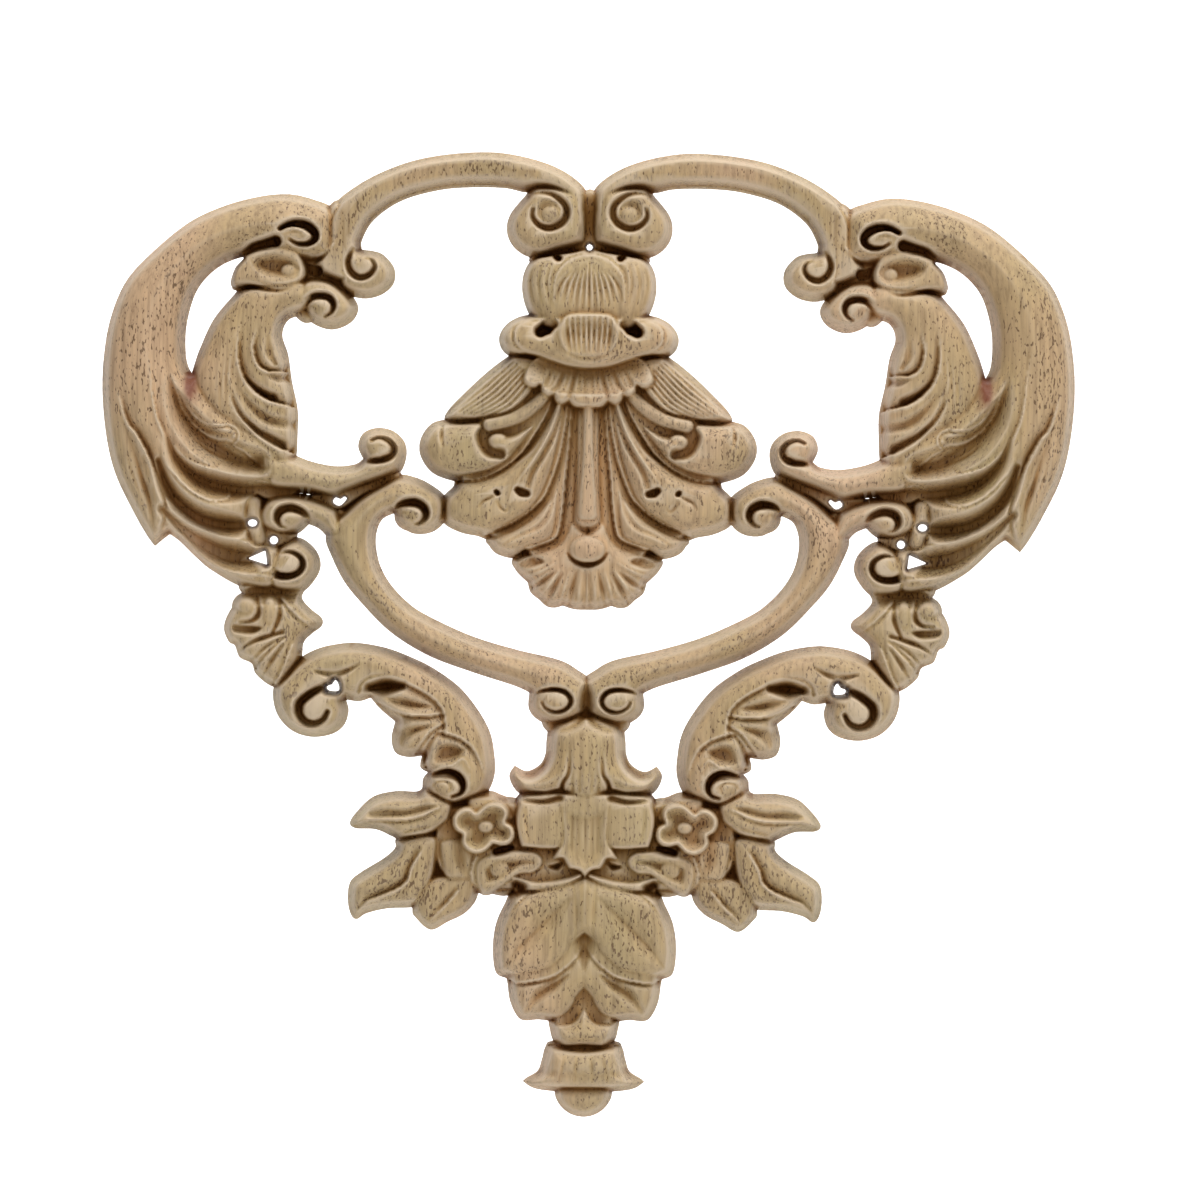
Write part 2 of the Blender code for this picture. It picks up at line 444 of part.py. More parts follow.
def feathers(part):
    """Long feathers of the wing, each with a crisp crest, parted by cuts that run down to the tip."""
    part.dish([(93, 12), (92.6, 6), (91, 0), (88.6, -6), (86.2, -12), (85.4, -9), (85.4, -3), (87.4, 3),
               (90, 8)], 1.1, 2)
    part.lap([(93.8, 18), (91.7, 11), (89.7, 8.3), (87.7, 4.7), (86.3, 1.3), (85, -2.3), (84.3, -5.3),
              (84.3, -7.6), (85.2, -11)], (0, 0.5, 0.8, 0.8, 0.5), 1.1, (0, 1.6, 2.6, 3.4, 3, 1.4), 3)
    part.groove([(90.2, 4.4), (88.8, -0.4), (87.4, -4.6), (86.8, -9)], (0.3, 0.9, 0.3), (0.3, 1.3, 0.3))
    part.groove([(91.8, 4.8), (90.8, 0.6), (89.2, -3.4)], (0.3, 0.6, 0.3), (0.1, 0.6, 0.1))
    part.lap([(88, 27), (86.9, 20.3), (86.5, 16), (85.7, 12), (84.3, 8.7), (82, 5.7), (79.3, 3.2),
              (75.3, 1.8),
              (71.3, 1.4), (67.6, 1.5), (64.3, 2.1)], (0, 0.3, 0.7, 0.8, 0.8, 0.5), 1.2,
             (0, 0.4, 1, 1.4, 1.4, 1), 4)
    part.channel([(84.4, 24), (83.4, 19.6), (82.2, 15.8), (80.6, 12.4), (78.4, 9.4), (75.8, 7), (72.6, 4.9),
                  (69.8, 3.4), (66, 2.6)], (0.1, 0.15, 0.25, 0.4, 0.4, 0.2), (10, 8, 5.8, 4.8, 4.4, 4.4),
                  1.5)
    part.lap([(70.5, 6.7), (72, 7.1), (73.3, 7.2), (75.5, 7.8), (78.1, 9.6), (80, 11.7), (81.5, 14.3),
              (82.2, 16.9), (83.3, 20.4)], (0.7, 0.8, 0.6, 0), 0.8, (0.5, 0.8, 0.6, 0), 1.2)
    part.lap([(70.5, 6.7), (69.6, 8), (70.2, 9.4), (71.5, 10.1), (73.5, 10), (75.5, 10.2), (77.8, 11.3),
              (79.6, 13.3), (81.7, 17.6)], (0.7, 0.8, 0.6, 0), 0.7, (0.7, 0.9, 0.6, 0), 0.9)
    part.groove([(71, 8.4), (74.6, 8.8), (77.8, 10.2), (80, 12.8), (81.6, 16.2)], (0.8, 1, 0.7, 0.3),
                (0.7, 0.9, 0.6, 0.2))
    part.lap([(64.6, 2), (65.9, 2.6), (67.2, 3.7), (68.7, 5), (70.2, 5.7), (71.1, 6.5)], (0.6, 0.7, 0.4),
             0.8,
             (0.5, 0.8, 0.4), 0.9)
    part.groove([(78.6, 7.6), (75.6, 5.2), (71.5, 3.2)], (0.2, 0.5, 0.2), (0.3, 0.8, 0.3))
    part.channel([(84, 9), (82.4, 4.4), (79.8, 1.2), (76.8, -0.8), (73, -2), (69, -2.6), (64.6, -2.6),
                  (60, -2.7)], (0.1, 0.2, 0.3, 0.5, 0.6, 0.5, 0.4), (9.4, 6.8, 4.4, 3, 2.6, 2.6), 2.4)
    part.lap([(60.6, -2.6), (62.7, -1.7), (64.8, -1.1), (67, -0.8)], (0.5, 0.6, 0.2),
             0.7, (0.3, 0.6, 0.2), 0.8)
    part.lap([(71.3, -3.2), (71.4, -4.1), (72.4, -4.7), (74.2, -4.9), (76.3, -4.4), (78.9, -3),
              (81.7, -0.4),
              (84.1, 2.4), (85, 5)], (0.6, 0.8, 0.8, 0), 0.9, (0.4, 0.7, 0.4), 1.2)
    part.channel([(85.6, 3), (84.3, -1), (82.6, -4), (80.4, -6.3), (78, -8), (75.4, -9.1), (72.6, -9.6),
                  (69.6, -9.7), (66.4, -9.3)], (0.1, 0.3, 0.5, 0.6, 0.6, 0.5), (7, 5, 3.6, 2.6, 2.4), 2.8)
    part.dish([(66.2, -4.6), (67.6, -4.4), (67.4, -6), (66, -6.4)], 4, 0.8)
    part.lap([(84.4, -3.8), (81.4, -6.8), (78.8, -8.8), (76, -10.4), (72.7, -11.9), (69.7, -12.7),
              (66.6, -12.7)], (0.3, 0.9, 1, 0.8), 1.1, 0.3, 0.7)
    part.channel([(84.6, -6.6), (82.4, -8.9), (79.8, -11.2), (77, -13.2), (74, -14.8), (71, -15.8),
                  (67.4, -16.2)], (0.1, 0.3, 0.6, 0.9, 1, 0.8), (6.6, 4.4, 2.8, 2.4, 2), 2.4)
    part.lap([(83.2, -11), (80, -13.4), (76.4, -16.2), (72, -18.3), (67, -19.2), (62, -19.6)],
             (0.1, 0.5, 0.5), 1.2, (0, 0.3, 0.3), 1.0)


def wing_volute(wood):
    """Scroll at the wing's root, with the deep hollow that runs into it from under the wing."""
    wood.channel([(61.6, 49.5), (60.1, 50.3), (58.3, 50.6), (56.3, 50.1), (54.8, 48.8), (54.8, 47.4),
                  (56.3, 46.5), (58.3, 46.6), (59.7, 47.4)],
                 (0.1, 0.2, 0.4, 0.5, 0.4, 0.3, 0.2, 0.1), (4, 2.6, 2.2, 2.4, 3.4, 5, 7), 12)
    wood.lap([(53.4, 48.6), (53.8, 46.8), (55.8, 45.5), (58.2, 45.5), (60.2, 46.4), (61.4, 47.8)],
             (0.1, 0.4, 0.4), 0.8, 0.1, 0.4)
    wood.groove([(60.4, 48.6), (59, 48.9), (57.4, 48.7)], (0.3, 0.6, 0.4), (0.3, 0.8, 0.3))
    wood.channel([(69.3, 44.6), (67, 45.9), (64.8, 46.5), (62.6, 47)], (0.1, 0.4, 0.5, 0.7), (3, 2.2), 9)
    wood.lap([(63.4, 46.2), (61.2, 44.8), (57.4, 44), (53.6, 44.6), (51.2, 46.6)], (0.3, 0.6),
             1.0, 0.3, 0.5)


def head(wood):
    """Curled leaf head under the wing, hollow inside its rim, with its eye-like ball."""
    part = Layer()
    part.pillow([(61, 46), (64, 45.6), (66.6, 45), (69, 43.7), (70.6, 41.6), (71.2, 39.8), (71, 38.4),
                 (70.4, 37.9), (67.7, 38.2), (65.4, 37.8), (62.6, 37.4), (60, 37.7), (57.6, 38.8),
                 (56.6, 41),
                 (58, 44.8)], 7, 8.6, 1.8, 5)
    part.dish([(66.8, 44), (63.6, 45), (60.6, 44.6), (58, 43.4), (57, 41.4), (58.4, 39.4), (61.6, 39.1),
               (65, 39.8), (67.2, 41.6)], 2.8, 2.4)
    part.groove([(67.6, 43.6), (66.4, 42), (65.6, 40.4)], (0.3, 0.5, 0.2), (0.2, 0.4, 0.1))
    part.bead((59.8, 41), (1.7, 1.6), 6.4, 8.2)
    part.ridge([(65.8, 39.4), (63.6, 38.8), (61.6, 38.6), (59.5, 38.8), (58, 39.4), (56.8, 40.2)], 0.5,
               (0.1, 0.5, 0.5, 0.2))
    wood.join(part)
    wood.channel([(56, 42.3), (55.2, 41.4), (54.4, 41.2)], (0.3, 0.9, 1.0), 1.9, 12)
    wood.groove([(71.4, 37.6), (69.7, 37.9), (67.7, 38), (65.7, 37.6), (63.6, 37.2), (61.6, 37.1),
                 (59.6, 37.6)],
                (0.6, 0.8, 0.6, 0.5, 0.3), (2.4, 2.4, 1.6, 1.2, 0.3))


def neck_volute(wood):
    """Scroll at the end of the neck, below the arch's foot."""
    part = Layer()
    part.pillow([(59, 38.4), (56, 40.2), (52, 40), (49, 38.2), (46.6, 35.4), (46.2, 33.4), (47.4, 31.3),
                 (50, 29.9), (52.6, 29.8), (55.4, 31), (56.9, 33), (61, 32.4), (62, 36)], 4.8, 8.8, 2.4)
    part.channel([(56.6, 32.7), (56.4, 34.4), (55.4, 35.7), (53.6, 36.2), (51.8, 35.8), (50.9, 34.4),
                  (51.3, 32.9),
                  (52.6, 32)], (0.1, 0.3, 0.4, 0.35, 0.2, 0.1), (5, 4.2, 4.2, 6.4), 9)
    part.bead((53.9, 33.9), (1.7, 1.6), 7, 8.2)
    wood.join(part)


def stem(wood):
    """Stalk that crosses from the breast to a volute above the C-scroll."""
    part = Layer()
    part.pillow([(66, 5.6), (60.6, 5.2), (55.4, 3.3), (50.5, 2.4), (46.6, 2.8), (45, 3.9), (45, 3.9),
                 (46, 6.4), (45, 9), (42.2, 10.1), (39, 9.5), (36.7, 7.3), (36.3, 4.4), (37.4, 1.4),
                 (40, -0.2), (44.4, -1.8), (48, -3.2), (51, -4.2), (56, -3.2), (64, -2)], 4.8, 8.8, 2.6)
    part.channel([(45.9, 3.4), (43.4, 3.4), (40.8, 3.7), (39.1, 4.5), (38.7, 6), (39.7, 7.4), (41.6, 8),
                  (43.2, 7.4)], (0.1, 0.3, 0.4, 0.4, 0.25, 0.1), (4.6, 4, 4, 6), 9)
    part.bead((41.9, 5.6), (1.5, 1.4), 7, 8.2)
    wood.join(part)


def small_scrolls(wood):
    """Two small scrolls between the wing and the C-scroll."""
    part = Layer()
    part.pillow([(49, -7.4), (51, -5.2), (55.4, -3.5), (60.3, -3), (64.2, -4.2), (66, -7.4), (65, -10.2),
                 (61.6, -11.6), (58, -11.2), (55.7, -9.3), (55.7, -9.3), (53.4, -10.4), (51.4, -13),
                 (50.2, -17), (47, -14)], 4.8, 8.2, 2.4)
    part.channel([(55.4, -8.8), (56, -7.6), (57.4, -6.6), (59.3, -6.1), (61.2, -6.7), (61.9, -8.3),
                  (61.2, -9.7), (60, -10.1)], (0.2, 0.4, 0.5, 0.5, 0.3, 0.1), (5, 3.4, 3.4, 5.6))
    part.bead((59.2, -8.3), (1.3, 1.2), 6.6, 7.8)
    part.band([(66.8, -5.4), (66.4, -9), (65.8, -12)], 1.6, 3, 5.5)
    part.pillow([(61.6, -13.5), (57.9, -11.9), (54.6, -14), (53.3, -17), (54.2, -20), (57.4, -23),
                 (63, -22.4), (64.2, -18)], 4.6, 8, 2.4)
    part.channel([(61.2, -15), (59, -14.9), (57.2, -15.9), (56.7, -17.5), (57.6, -19), (59.6, -19.7),
                  (62, -19.4), (64, -18)], (0.1, 0.2, 0.3, 0.35, 0.4, 0.5), (6, 4, 3.4, 2.4), 9)
    part.bead((59.8, -17.1), (1.6, 1.3), 6.4, 7.6)
    wood.join(part)


def c_scroll(wood):
    """Great C-shaped scroll from the volute beside the shell round to the volute on the centre line."""
    part = Layer()
    part.pillow([(50.6, -8), (49, -6.6), (45.3, -3.3), (41, -0.7), (37.6, 0.8), (34, 0.1), (31, -1.4),
                 (28.6, -3.4), (28, -6), (28.9, -9), (31.4, -10.8), (34.8, -11), (37.4, -9.4), (38.8, -7),
                 (38.8, -7), (41.2, -8.4), (42.3, -12), (41.6, -16.8), (39.4, -21), (35.8, -24.8),
                 (31.8, -27.4), (23.2, -31.3), (14.2, -34), (5.6, -36), (1.8, -38), (-1, -40.4), (-1, -45),
                 (1.6, -48), (6, -49.2), (9.6, -48.1), (11.5, -45.8), (11.4, -42.6), (11.4, -42.6),
                 (14.6, -41.2), (23.2, -38.5), (31.8, -35.3), (39.4, -30.6), (45.5, -24.5), (48.7, -20.5),
                 (51, -16), (52.4, -11.8)], 4.8, 8.8, 3.6)
    part.channel([(38.6, -6.4), (37.6, -5.4), (36, -4.9), (34.2, -4.9), (32.7, -5.8), (32.2, -7.3),
                  (33, -8.7), (34.4, -9.2)], (0.1, 0.35, 0.5, 0.4, 0.3, 0.1), (4.4, 3.4, 3.6, 6))
    part.bead((35.2, -7.5), (1.7, 1.5), 7, 8.2)
    part.channel([(10.8, -43.2), (9.4, -42.4), (7.8, -42), (6, -41.9), (4.2, -42.4), (3.1, -43.8),
                  (3.4, -45.2), (4.8, -46.2), (6.6, -46.3), (8.2, -45.5), (8.8, -44.4)],
                 (0.1, 0.15, 0.2, 0.2, 0.15, 0.1), (6, 5.2, 5.2, 6.4), 9)
    part.bead((6.2, -44.2), (2, 1.5), 7.4, 8.6)
    part.channel([(0, -37.6), (0, -42), (0, -48)], (0.1, 0.3, 0.8), (7, 4.6, 3.4), 3)
    wood.join(part)


def little_shell(wood):
    """Small hanging shell under the wing tip, with a boss, a tongue and a fan of ribs."""
    part = Layer()
    part.pillow([(68.8, -21), (69, -23.8), (71.4, -26.6), (72.6, -30), (71.6, -32.9), (70.4, -33.6),
                 (69.4, -36), (67, -37.2), (66.2, -39.2), (63.6, -41.4), (61, -42), (58.6, -39.4),
                 (57, -36.4), (56.6, -33), (55, -31.2), (53, -29.6), (53, -28), (55.2, -26.2), (57, -24),
                 (57, -21)], 4, 7.4, 2.6)
    part.channel([(69, -23.4), (65.4, -22.6), (58, -22.8)], (0.3, 0.6, 0.5), 2.8, 1.8)
    part.bead((67.9, -26.4), (1.6, 1.5), 6.2, 7.8)
    part.groove([(65.8, -24), (65.4, -27), (66.6, -28.6), (69, -29)], (0.5, 0.9, 0.6), (1, 2.2, 1.4))
    part.dish([(70.6, -29.2), (66.4, -29.2), (64.4, -30), (66.4, -31.6), (70.4, -31.2)], 2.4, 1)
    part.band([(63.2, -24), (63.1, -27.4), (63.6, -30.4)], (1.3, 1.3, 0.6), 5.6, (7, 7.6, 6.4))
    part.groove([(61.4, -24), (61.2, -27.6), (62.6, -31)], (0.5, 0.8, 0.5), (0.8, 1.8, 1.4))
    part.lap([(54, -30.6), (57.6, -28), (60.8, -24.6)], (0.3, 0.6), 1.2, (0.6, 1.4), 1.4)
    part.groove([(68.9, -34.4), (66, -32.6), (60.6, -30.8)], (0.4, 0.8, 0.7), (1, 2, 1.4))
    part.lap([(66, -38.4), (63.6, -35.4), (60.5, -32.4)], (0.4, 0.7), 1.0, (1.4, 1), 1.2)
    part.groove([(66.8, -36.6), (64, -33.9), (61.2, -32.1)], (0.3, 0.6, 0.4), (0.6, 1.2, 0.6))
    part.lap([(62.4, -41.4), (60.9, -38.8), (60, -36.4), (58.8, -33.4)], (0.4, 0.7), 1.0, (1.2, 0.8), 1.2)
    part.groove([(64.8, -40), (62.6, -36.4), (60.6, -33.4)], (0.3, 0.7, 0.4), (0.6, 1.4, 0.8))
    wood.join(part)


def acanthus(wood):
    """Leafy scroll that sweeps from the side volute down to the flower, lobed along its inner side."""
    part = Layer()
    part.pillow([(58, -36.6), (55.3, -34.8), (51.6, -33.5), (46.2, -32.9), (40, -33.9), (34.6, -35.9),
                 (30.4, -38), (25.4, -41.6), (21.6, -46.2), (19.2, -50.6), (18.3, -55), (18.2, -59),
                 (19.6, -62.6), (22.5, -64.5), (26.8, -65.7), (30.4, -64.2), (32.2, -60.6), (31.6, -58.7),
                 (31.6, -58.7), (33.1, -57.7), (32.8, -55.4), (32.8, -55.4), (35.6, -55.7), (38.1, -54.8),
                 (38.9, -52), (38.2, -48.6), (38.2, -48.6), (41.2, -46.1), (43.1, -43.9), (43.1, -43.9),
                 (45.4, -44.6), (48, -44.3), (48, -44.3), (47.5, -46.6), (48.4, -49.4), (50.8, -51.2),
                 (54.8, -51.8), (58.6, -50.7), (61.4, -48), (62.6, -44.6), (62.4, -41.4), (60.4, -39)],
                5, 9.4, 3)
    part.channel([(51.8, -41.6), (53.6, -42.3), (55.5, -43.5), (57, -45), (57.2, -46.9), (56.1, -48.5),
                  (54.2, -49), (52.4, -48.2), (51.5, -46.6)], (0.2, 0.5, 0.6, 0.5, 0.3, 0.1),
                 (3.6, 3, 3.2, 6))
    part.bead((54.1, -46.2), (1.9, 1.8), 7, 8.4)
    part.groove([(54, -38.6), (50.6, -39.2), (48, -38.6), (45, -37)], (0.4, 1.0, 0.8, 0.3),
                (0.8, 2.2, 1.6, 0.2))
    part.groove([(45.3, -42.6), (44.6, -41), (42.6, -39.7), (39, -39.2)], (0.6, 0.8, 0.3), (2, 1.6, 0.3))
    part.lap([(28.2, -50.4), (28.3, -47.3), (29.2, -45.4), (30.9, -43.7), (33.3, -42.2), (35.7, -41),
              (37.6, -40.3), (40, -40), (41.7, -40.3), (43.6, -41.3)], (0.2, 0.4, 0.4, 0.3), 1.2,
             (0.9, 1.6, 1.8, 2.4), 2.6)
    part.channel([(43, -42), (41, -41.7), (39, -41.5), (36.6, -41.4)], (0.2, 0.5, 0.4, 0.1),
                 (2.4, 2.4, 5.4), 4)
    part.dish([(41.8, -43.4), (39.4, -42.8), (35, -43.4), (30.6, -45), (31, -46.2), (35, -46.6),
               (39, -45.4)], 2.6, 2)
    part.lap([(28.8, -47), (31.6, -47.4), (35.2, -47.3), (37.8, -46.5), (41, -45)], (0.4, 0.7), 1.2,
             (1, 2, 1.6), 1.6)
    part.dish([(38.6, -50), (34.4, -48.8), (30.2, -48.9), (31.4, -50.2), (34, -51.8),
               (37, -54.4)], 2.2, 1.7)
    part.lap([(28.8, -49.2), (31, -50.7), (32.4, -52.6), (34.4, -55.4)], (0.4, 0.7), 1.2, (1, 1.8, 1.4),
             1.6)
    part.groove([(31.8, -57.6), (32, -55.6), (31, -52.8), (29.6, -50.9)], (0.6, 0.9, 0.5), (2, 2, 0.8))
    part.lap([(20.4, -58.6), (21.4, -56), (22.4, -54.2), (23.6, -52.9), (25, -51.9), (26.8, -51.2),
              (28.6, -50.7)], (0.2, 0.5), 1.2, (0.4, 1.7, 1.4), 2)
    part.dish([(30.6, -56.6), (29.8, -53.2), (27, -52.2), (23.8, -53.6), (24.6, -55.8),
               (28, -57.2)], 2.4, 1.9)
    part.lap([(32, -57.8), (29.4, -57.9), (26.8, -57), (24.4, -55.6), (22.8, -57.6)], (0.6, 0.8, 0.3),
             0.9, 0.3, 0.6)
    part.channel([(31.4, -59.2), (29.4, -58.9), (27.4, -58.7), (25.8, -59.1), (24.7, -60.2), (24.4, -61.6),
                  (25, -62.8), (26.6, -63.4)], (0.1, 0.3, 0.5, 0.4, 0.25, 0.15, 0.1), (4, 3, 3.6, 6), 9)
    part.bead((28.2, -61.2), (2.6, 2), 7, 8.4)
    part.groove([(30.4, -61.4), (29.4, -60.4), (27.8, -60.3), (26.9, -61.2),
                 (27.2, -62.2)], 0.4, (0.4, 1, 0.4))
    wood.join(part)


def bell(wood):
    """Bell with curling petals under the lower volutes, and the cup that it opens over."""
    part = Layer()
    part.pillow(mirrored([(0, -46), (5, -47.5), (7.3, -49.2), (7.9, -52), (8.1, -54.8), (9.2, -57),
                          (11.8, -58.3), (14.2, -57.2), (14.2, -57.2), (15.3, -59.2), (14.2, -61.9),
                          (12, -63.4), (8, -64), (5, -63.4), (2.8, -65.2), (0, -66)]), 6.8, 11.4, 5)
    part.groove([(7, -50.2), (4, -49.6), (1.4, -48.4), (0, -47)], 1.2, (0.6, 1.6, 3))
    part.groove([(4.9, -62.8), (4.5, -60.4), (3.4, -58.4), (3.2, -54)], (0.6, 0.6, 0.5, 0.2),
                (3.4, 2.2, 1.2, 0.2))
    part.groove([(13.6, -59), (11, -59.4), (8.8, -58), (7, -54.6)], (0.4, 1.2, 1.0, 0.4),
                (0.5, 1.6, 1.2, 0.3))
    part.lap([(12.4, -63), (9.6, -63.3), (7.6, -63), (6.2, -62), (5.2, -61.4)][::-1], (0.4, 0.8),
             1.0, 0.4, 0.5)
    part.ridge([(4, -62.2), (2.4, -64), (0, -64.8), (-2.4, -64)], 0.6, 0.5)
    wood.join(part)
    cup = Layer()
    cup.pillow([(3.4, -62.6), (12, -63), (13.6, -65.6), (14, -68.4), (13.6, -71), (12.8, -73.4),
                (12.8, -73.4), (5, -73.6), (3.4, -70), (3.4, -66)], 8.6, 9.6, 1.6, 5.5)
    cup.groove([(12, -66), (11.8, -69), (11.2, -72)], (0.3, 0.5, 0.3), (0.2, 0.5, 0.2))
    leaf = [(0, -79.4), (0, -79.4), (1.2, -78), (3.2, -77.5), (3.2, -77.5), (3.9, -76.4), (4.5, -75.5),
            (6.5, -75.6), (6.5, -75.6), (5.6, -73.8), (4.8, -72.2), (4.7, -70), (5, -66), (5, -62.8)]
    cup.pillow(mirrored([(0, -62.6)] + leaf[:0:-1] + [(0, -79.4)]), 9.4, 10, 0.6, 7)
    cup.dish(mirrored([(0, -66), (4, -66), (3.8, -71), (4, -73.6), (2.6, -76.2), (0, -77.8)]), 0.8, 2)
    wood.join(cup)
    wood.channel([(12.8, -63.8), (8.4, -64.2), (5.2, -63.4)], (0.1, 0.1, 0.2), (8, 7.6, 7.2), 3)


def centre_leaves(wood):
    """Two pairs of leaves that hang on the centre line below the cup, with a small leaf at each side."""
    lower_pair = Layer()
    lower_pair.pillow([(15.6, -98), (15.3, -101.2), (14.8, -104.4), (13.4, -107.3), (11.9, -108.2),
                       (9, -108),
                       (4.9, -108.4), (2.4, -107.2), (0.8, -105), (0, -103.4), (-5, -98), (-5, -87),
                       (6, -88), (14, -95)],
                      5.6, 8.4, 2.4)
    lower_pair.groove([(0, -91), (0, -94.4), (0, -97.6)], (3, 2.4, 0.6), (2, 2, 0.5))
    lower_pair.groove([(3.5, -98.8), (5.5, -100.3), (8.7, -102.4), (11, -105.2), (12.6, -107.8)],
                      (0.8, 1.8, 1.8, 1, 0.4), (0.6, 1.8, 1.6, 0.8, 0.2))
    lower_pair.lap([(3.4, -98.6), (5.5, -100.2), (8.7, -102.3), (11, -105.1)], (0.3, 0.5, 0.1),
                   1.2, 0.4, 0.5)
    wood.join(lower_pair)
    upper_pair = Layer()
    upper_pair.pillow([(14.6, -82.4), (16, -84.8), (17.6, -88.4), (18.3, -92.4), (18.2, -96.4),
                       (17.5, -98.9),
                       (15.5, -99.8), (13.4, -100.5), (10, -100.2), (6.2, -99.1), (3.6, -97.2), (1.4, -95),
                       (0, -92.4), (-5, -88), (-5, -77), (5, -79.4), (10, -80.6)], 6.2, 9.8, 3)
    upper_pair.groove([(2.8, -83.4), (7.6, -88), (12.4, -93), (16.4, -98)], (0.8, 3, 2.6, 0.6),
                      (0.2, 0.8, 0.8, 0.2))
    upper_pair.groove([(3.4, -83.8), (8, -88.4), (13, -93.4), (16.8, -98.4)], (0.3, 0.5, 0.5, 0.3),
                      (0.1, 0.25, 0.3, 0.1))
    upper_pair.ridge([(0, -78), (0, -86), (0, -93.4)], (0.5, 0.8, 0.5), (0.2, 0.35, 0.2))
    upper_pair.groove([(2.4, -80), (1.8, -86), (1.6, -92)], (0.4, 0.9, 0.4), (0.2, 0.4, 0.1))
    upper_pair.lap([(10.1, -82), (13, -83.9), (15.2, -86.8)], (0.2, 0.3), 0.9, (0.6, 1.2, 0.4), 1.0)
    wood.join(upper_pair)
    wood.lap([(0, -92.4), (1.4, -95.2), (3.8, -97.5), (6.2, -99.1), (10, -100.1), (13.4, -100.4),
              (15.5, -99.7),
              (17.5, -98.8)], (0.2, 0.5), 1.0, (0.2, 1.8, 1.6), 1.4)
    sepal = Layer()
    sepal.band([(1, -78.9), (3.4, -80), (6.2, -80.8), (9.8, -81.1), (12.6, -80.4), (14, -79.8)],
               (0.4, 0.7, 0.8, 0.8, 0.4), 7.4, 8.6)
    wood.join(sepal)
    small_leaf = Layer()
    small_leaf.pillow([(8.4, -75.4), (8.6, -77.2), (10.4, -78.6), (12.9, -78.8), (14.6, -80), (16.8, -81.4),
                       (20.2, -82.6), (22, -79.4), (21.4, -76), (18, -74.4), (14, -73.9), (10.2, -74)],
                      7.4, 8.4, 1, 5)
    small_leaf.dish([(10.2, -75.6), (10, -76.8), (12.4, -77.4), (15, -79), (17.6, -80.4), (19.8, -80.6),
                     (20.2, -77.4), (17, -75.8), (13, -75.3)], 1.8, 1.6)
    wood.join(small_leaf)
    wood.channel([(13.6, -81.2), (12.8, -81.6)], (0.4, 0.3), 2.4, 4)
    wood.groove([(4.6, -76.4), (5.6, -77.2), (7, -77.2)], (0.5, 0.9, 0.4), (1, 2.6, 1.4))


def side_leaves(wood):
    """Three pointed leaves that spread to the side behind the flower, each creased along its midrib."""
    lowest = Layer()
    lowest.pillow([(33.6, -80), (34.5, -86), (33.8, -87.8), (30.8, -90.2), (27.4, -88.6), (23.7, -86.6),
                   (21.4, -83.2), (22, -78)], 4, 6.4, 2)
    lowest.lap([(30.6, -87.6), (29.4, -86.3), (27.9, -84.9), (25.6, -82.2)], (0.3, 0.6),
               1.2, (0.6, 1.6, 1), 1.6)
    wood.join(lowest)
    middle = Layer()
    middle.pillow([(37.6, -71.8), (38, -73.8), (40.2, -75.9), (44.7, -78.7), (47, -80.8), (47.4, -84.4),
                   (46.8, -87.2), (45.6, -88.2), (43.6, -87), (39.4, -86), (33.8, -85.6), (31.6, -83.6),
                   (29.6, -80), (28.6, -72), (32, -70)], 4.4, 8, 2.6)
    middle.lap([(46, -87), (43.6, -84.4), (40.8, -83.2), (37.6, -81.8), (35.6, -80.2), (34.8, -77.6),
                (33.2, -74.8)], (0.2, 0.7, 0.7, 0.4), 1.6, (0.6, 2.2, 2.2, 1.4), 2.4)
    middle.lap([(28.7, -79.8), (29.2, -78.2), (29.6, -75.9), (29.4, -73.7),
                (30, -71.4)][::-1], (0.3, 0.5), 1.0,
               (0.6, 0.9), 1.0)
    wood.join(middle)
    upper = Layer()
    upper.pillow([(31.6, -61.4), (33.6, -62.5), (38, -62.5), (42.4, -63.6), (45.5, -66.4), (47.1, -68.8),
                  (46, -70), (41.9, -70.2), (38.4, -71.7), (36.6, -72.6), (31.8, -72.2), (28.4, -70.4),
                  (26, -68), (26, -64)], 4.8, 8.8, 2.4)
    upper.dish([(43.6, -66.4), (40, -65.4), (36, -65.6), (32, -64.6), (29, -65.2), (32, -67), (37.4, -68),
                (43, -68.2)], 1.6, 1.4)
    upper.lap([(46.4, -69.4), (44.1, -68.5), (41.9, -68.2), (37.4, -68.3), (35.2, -68.1), (32.6, -67.4),
               (29.6, -66)][::-1], (0.4, 0.7), 1.4, (0.6, 1.6), 1.4)
    upper.groove([(38.6, -71.4), (35, -70.4), (31, -69.4)], (0.3, 0.7, 0.4), (0.2, 0.6, 0.3))
    wood.join(upper)
    stalk = Layer()
    stalk.pillow([(29.4, -71.4), (29.4, -78), (27.6, -80.8), (24, -81.2), (21.4, -82.8), (17, -82.6),
                  (13.8, -82), (14, -78), (20, -71)], 4.8, 7.2, 1.6)
    stalk.groove([(25.8, -72.4), (25, -75.6), (23.6, -79.4)], (1.4, 1.8, 1), (0.6, 1, 0.4))
    stalk.lap([(22.6, -80.8), (22.8, -78), (22, -75.4)], (0.3, 0.5), 1.2, (0.5, 0.8), 1.2)
    stalk.bead((17.1, -77.7), (2.2, 2.1), 6.6, 8.4)
    wood.join(stalk)
    wood.groove([(19.2, -75.6), (19.6, -77.2), (19.2, -78.8), (18.2, -79.8),
                 (16.6, -80.2)], 0.6, (0.8, 2, 1.4))


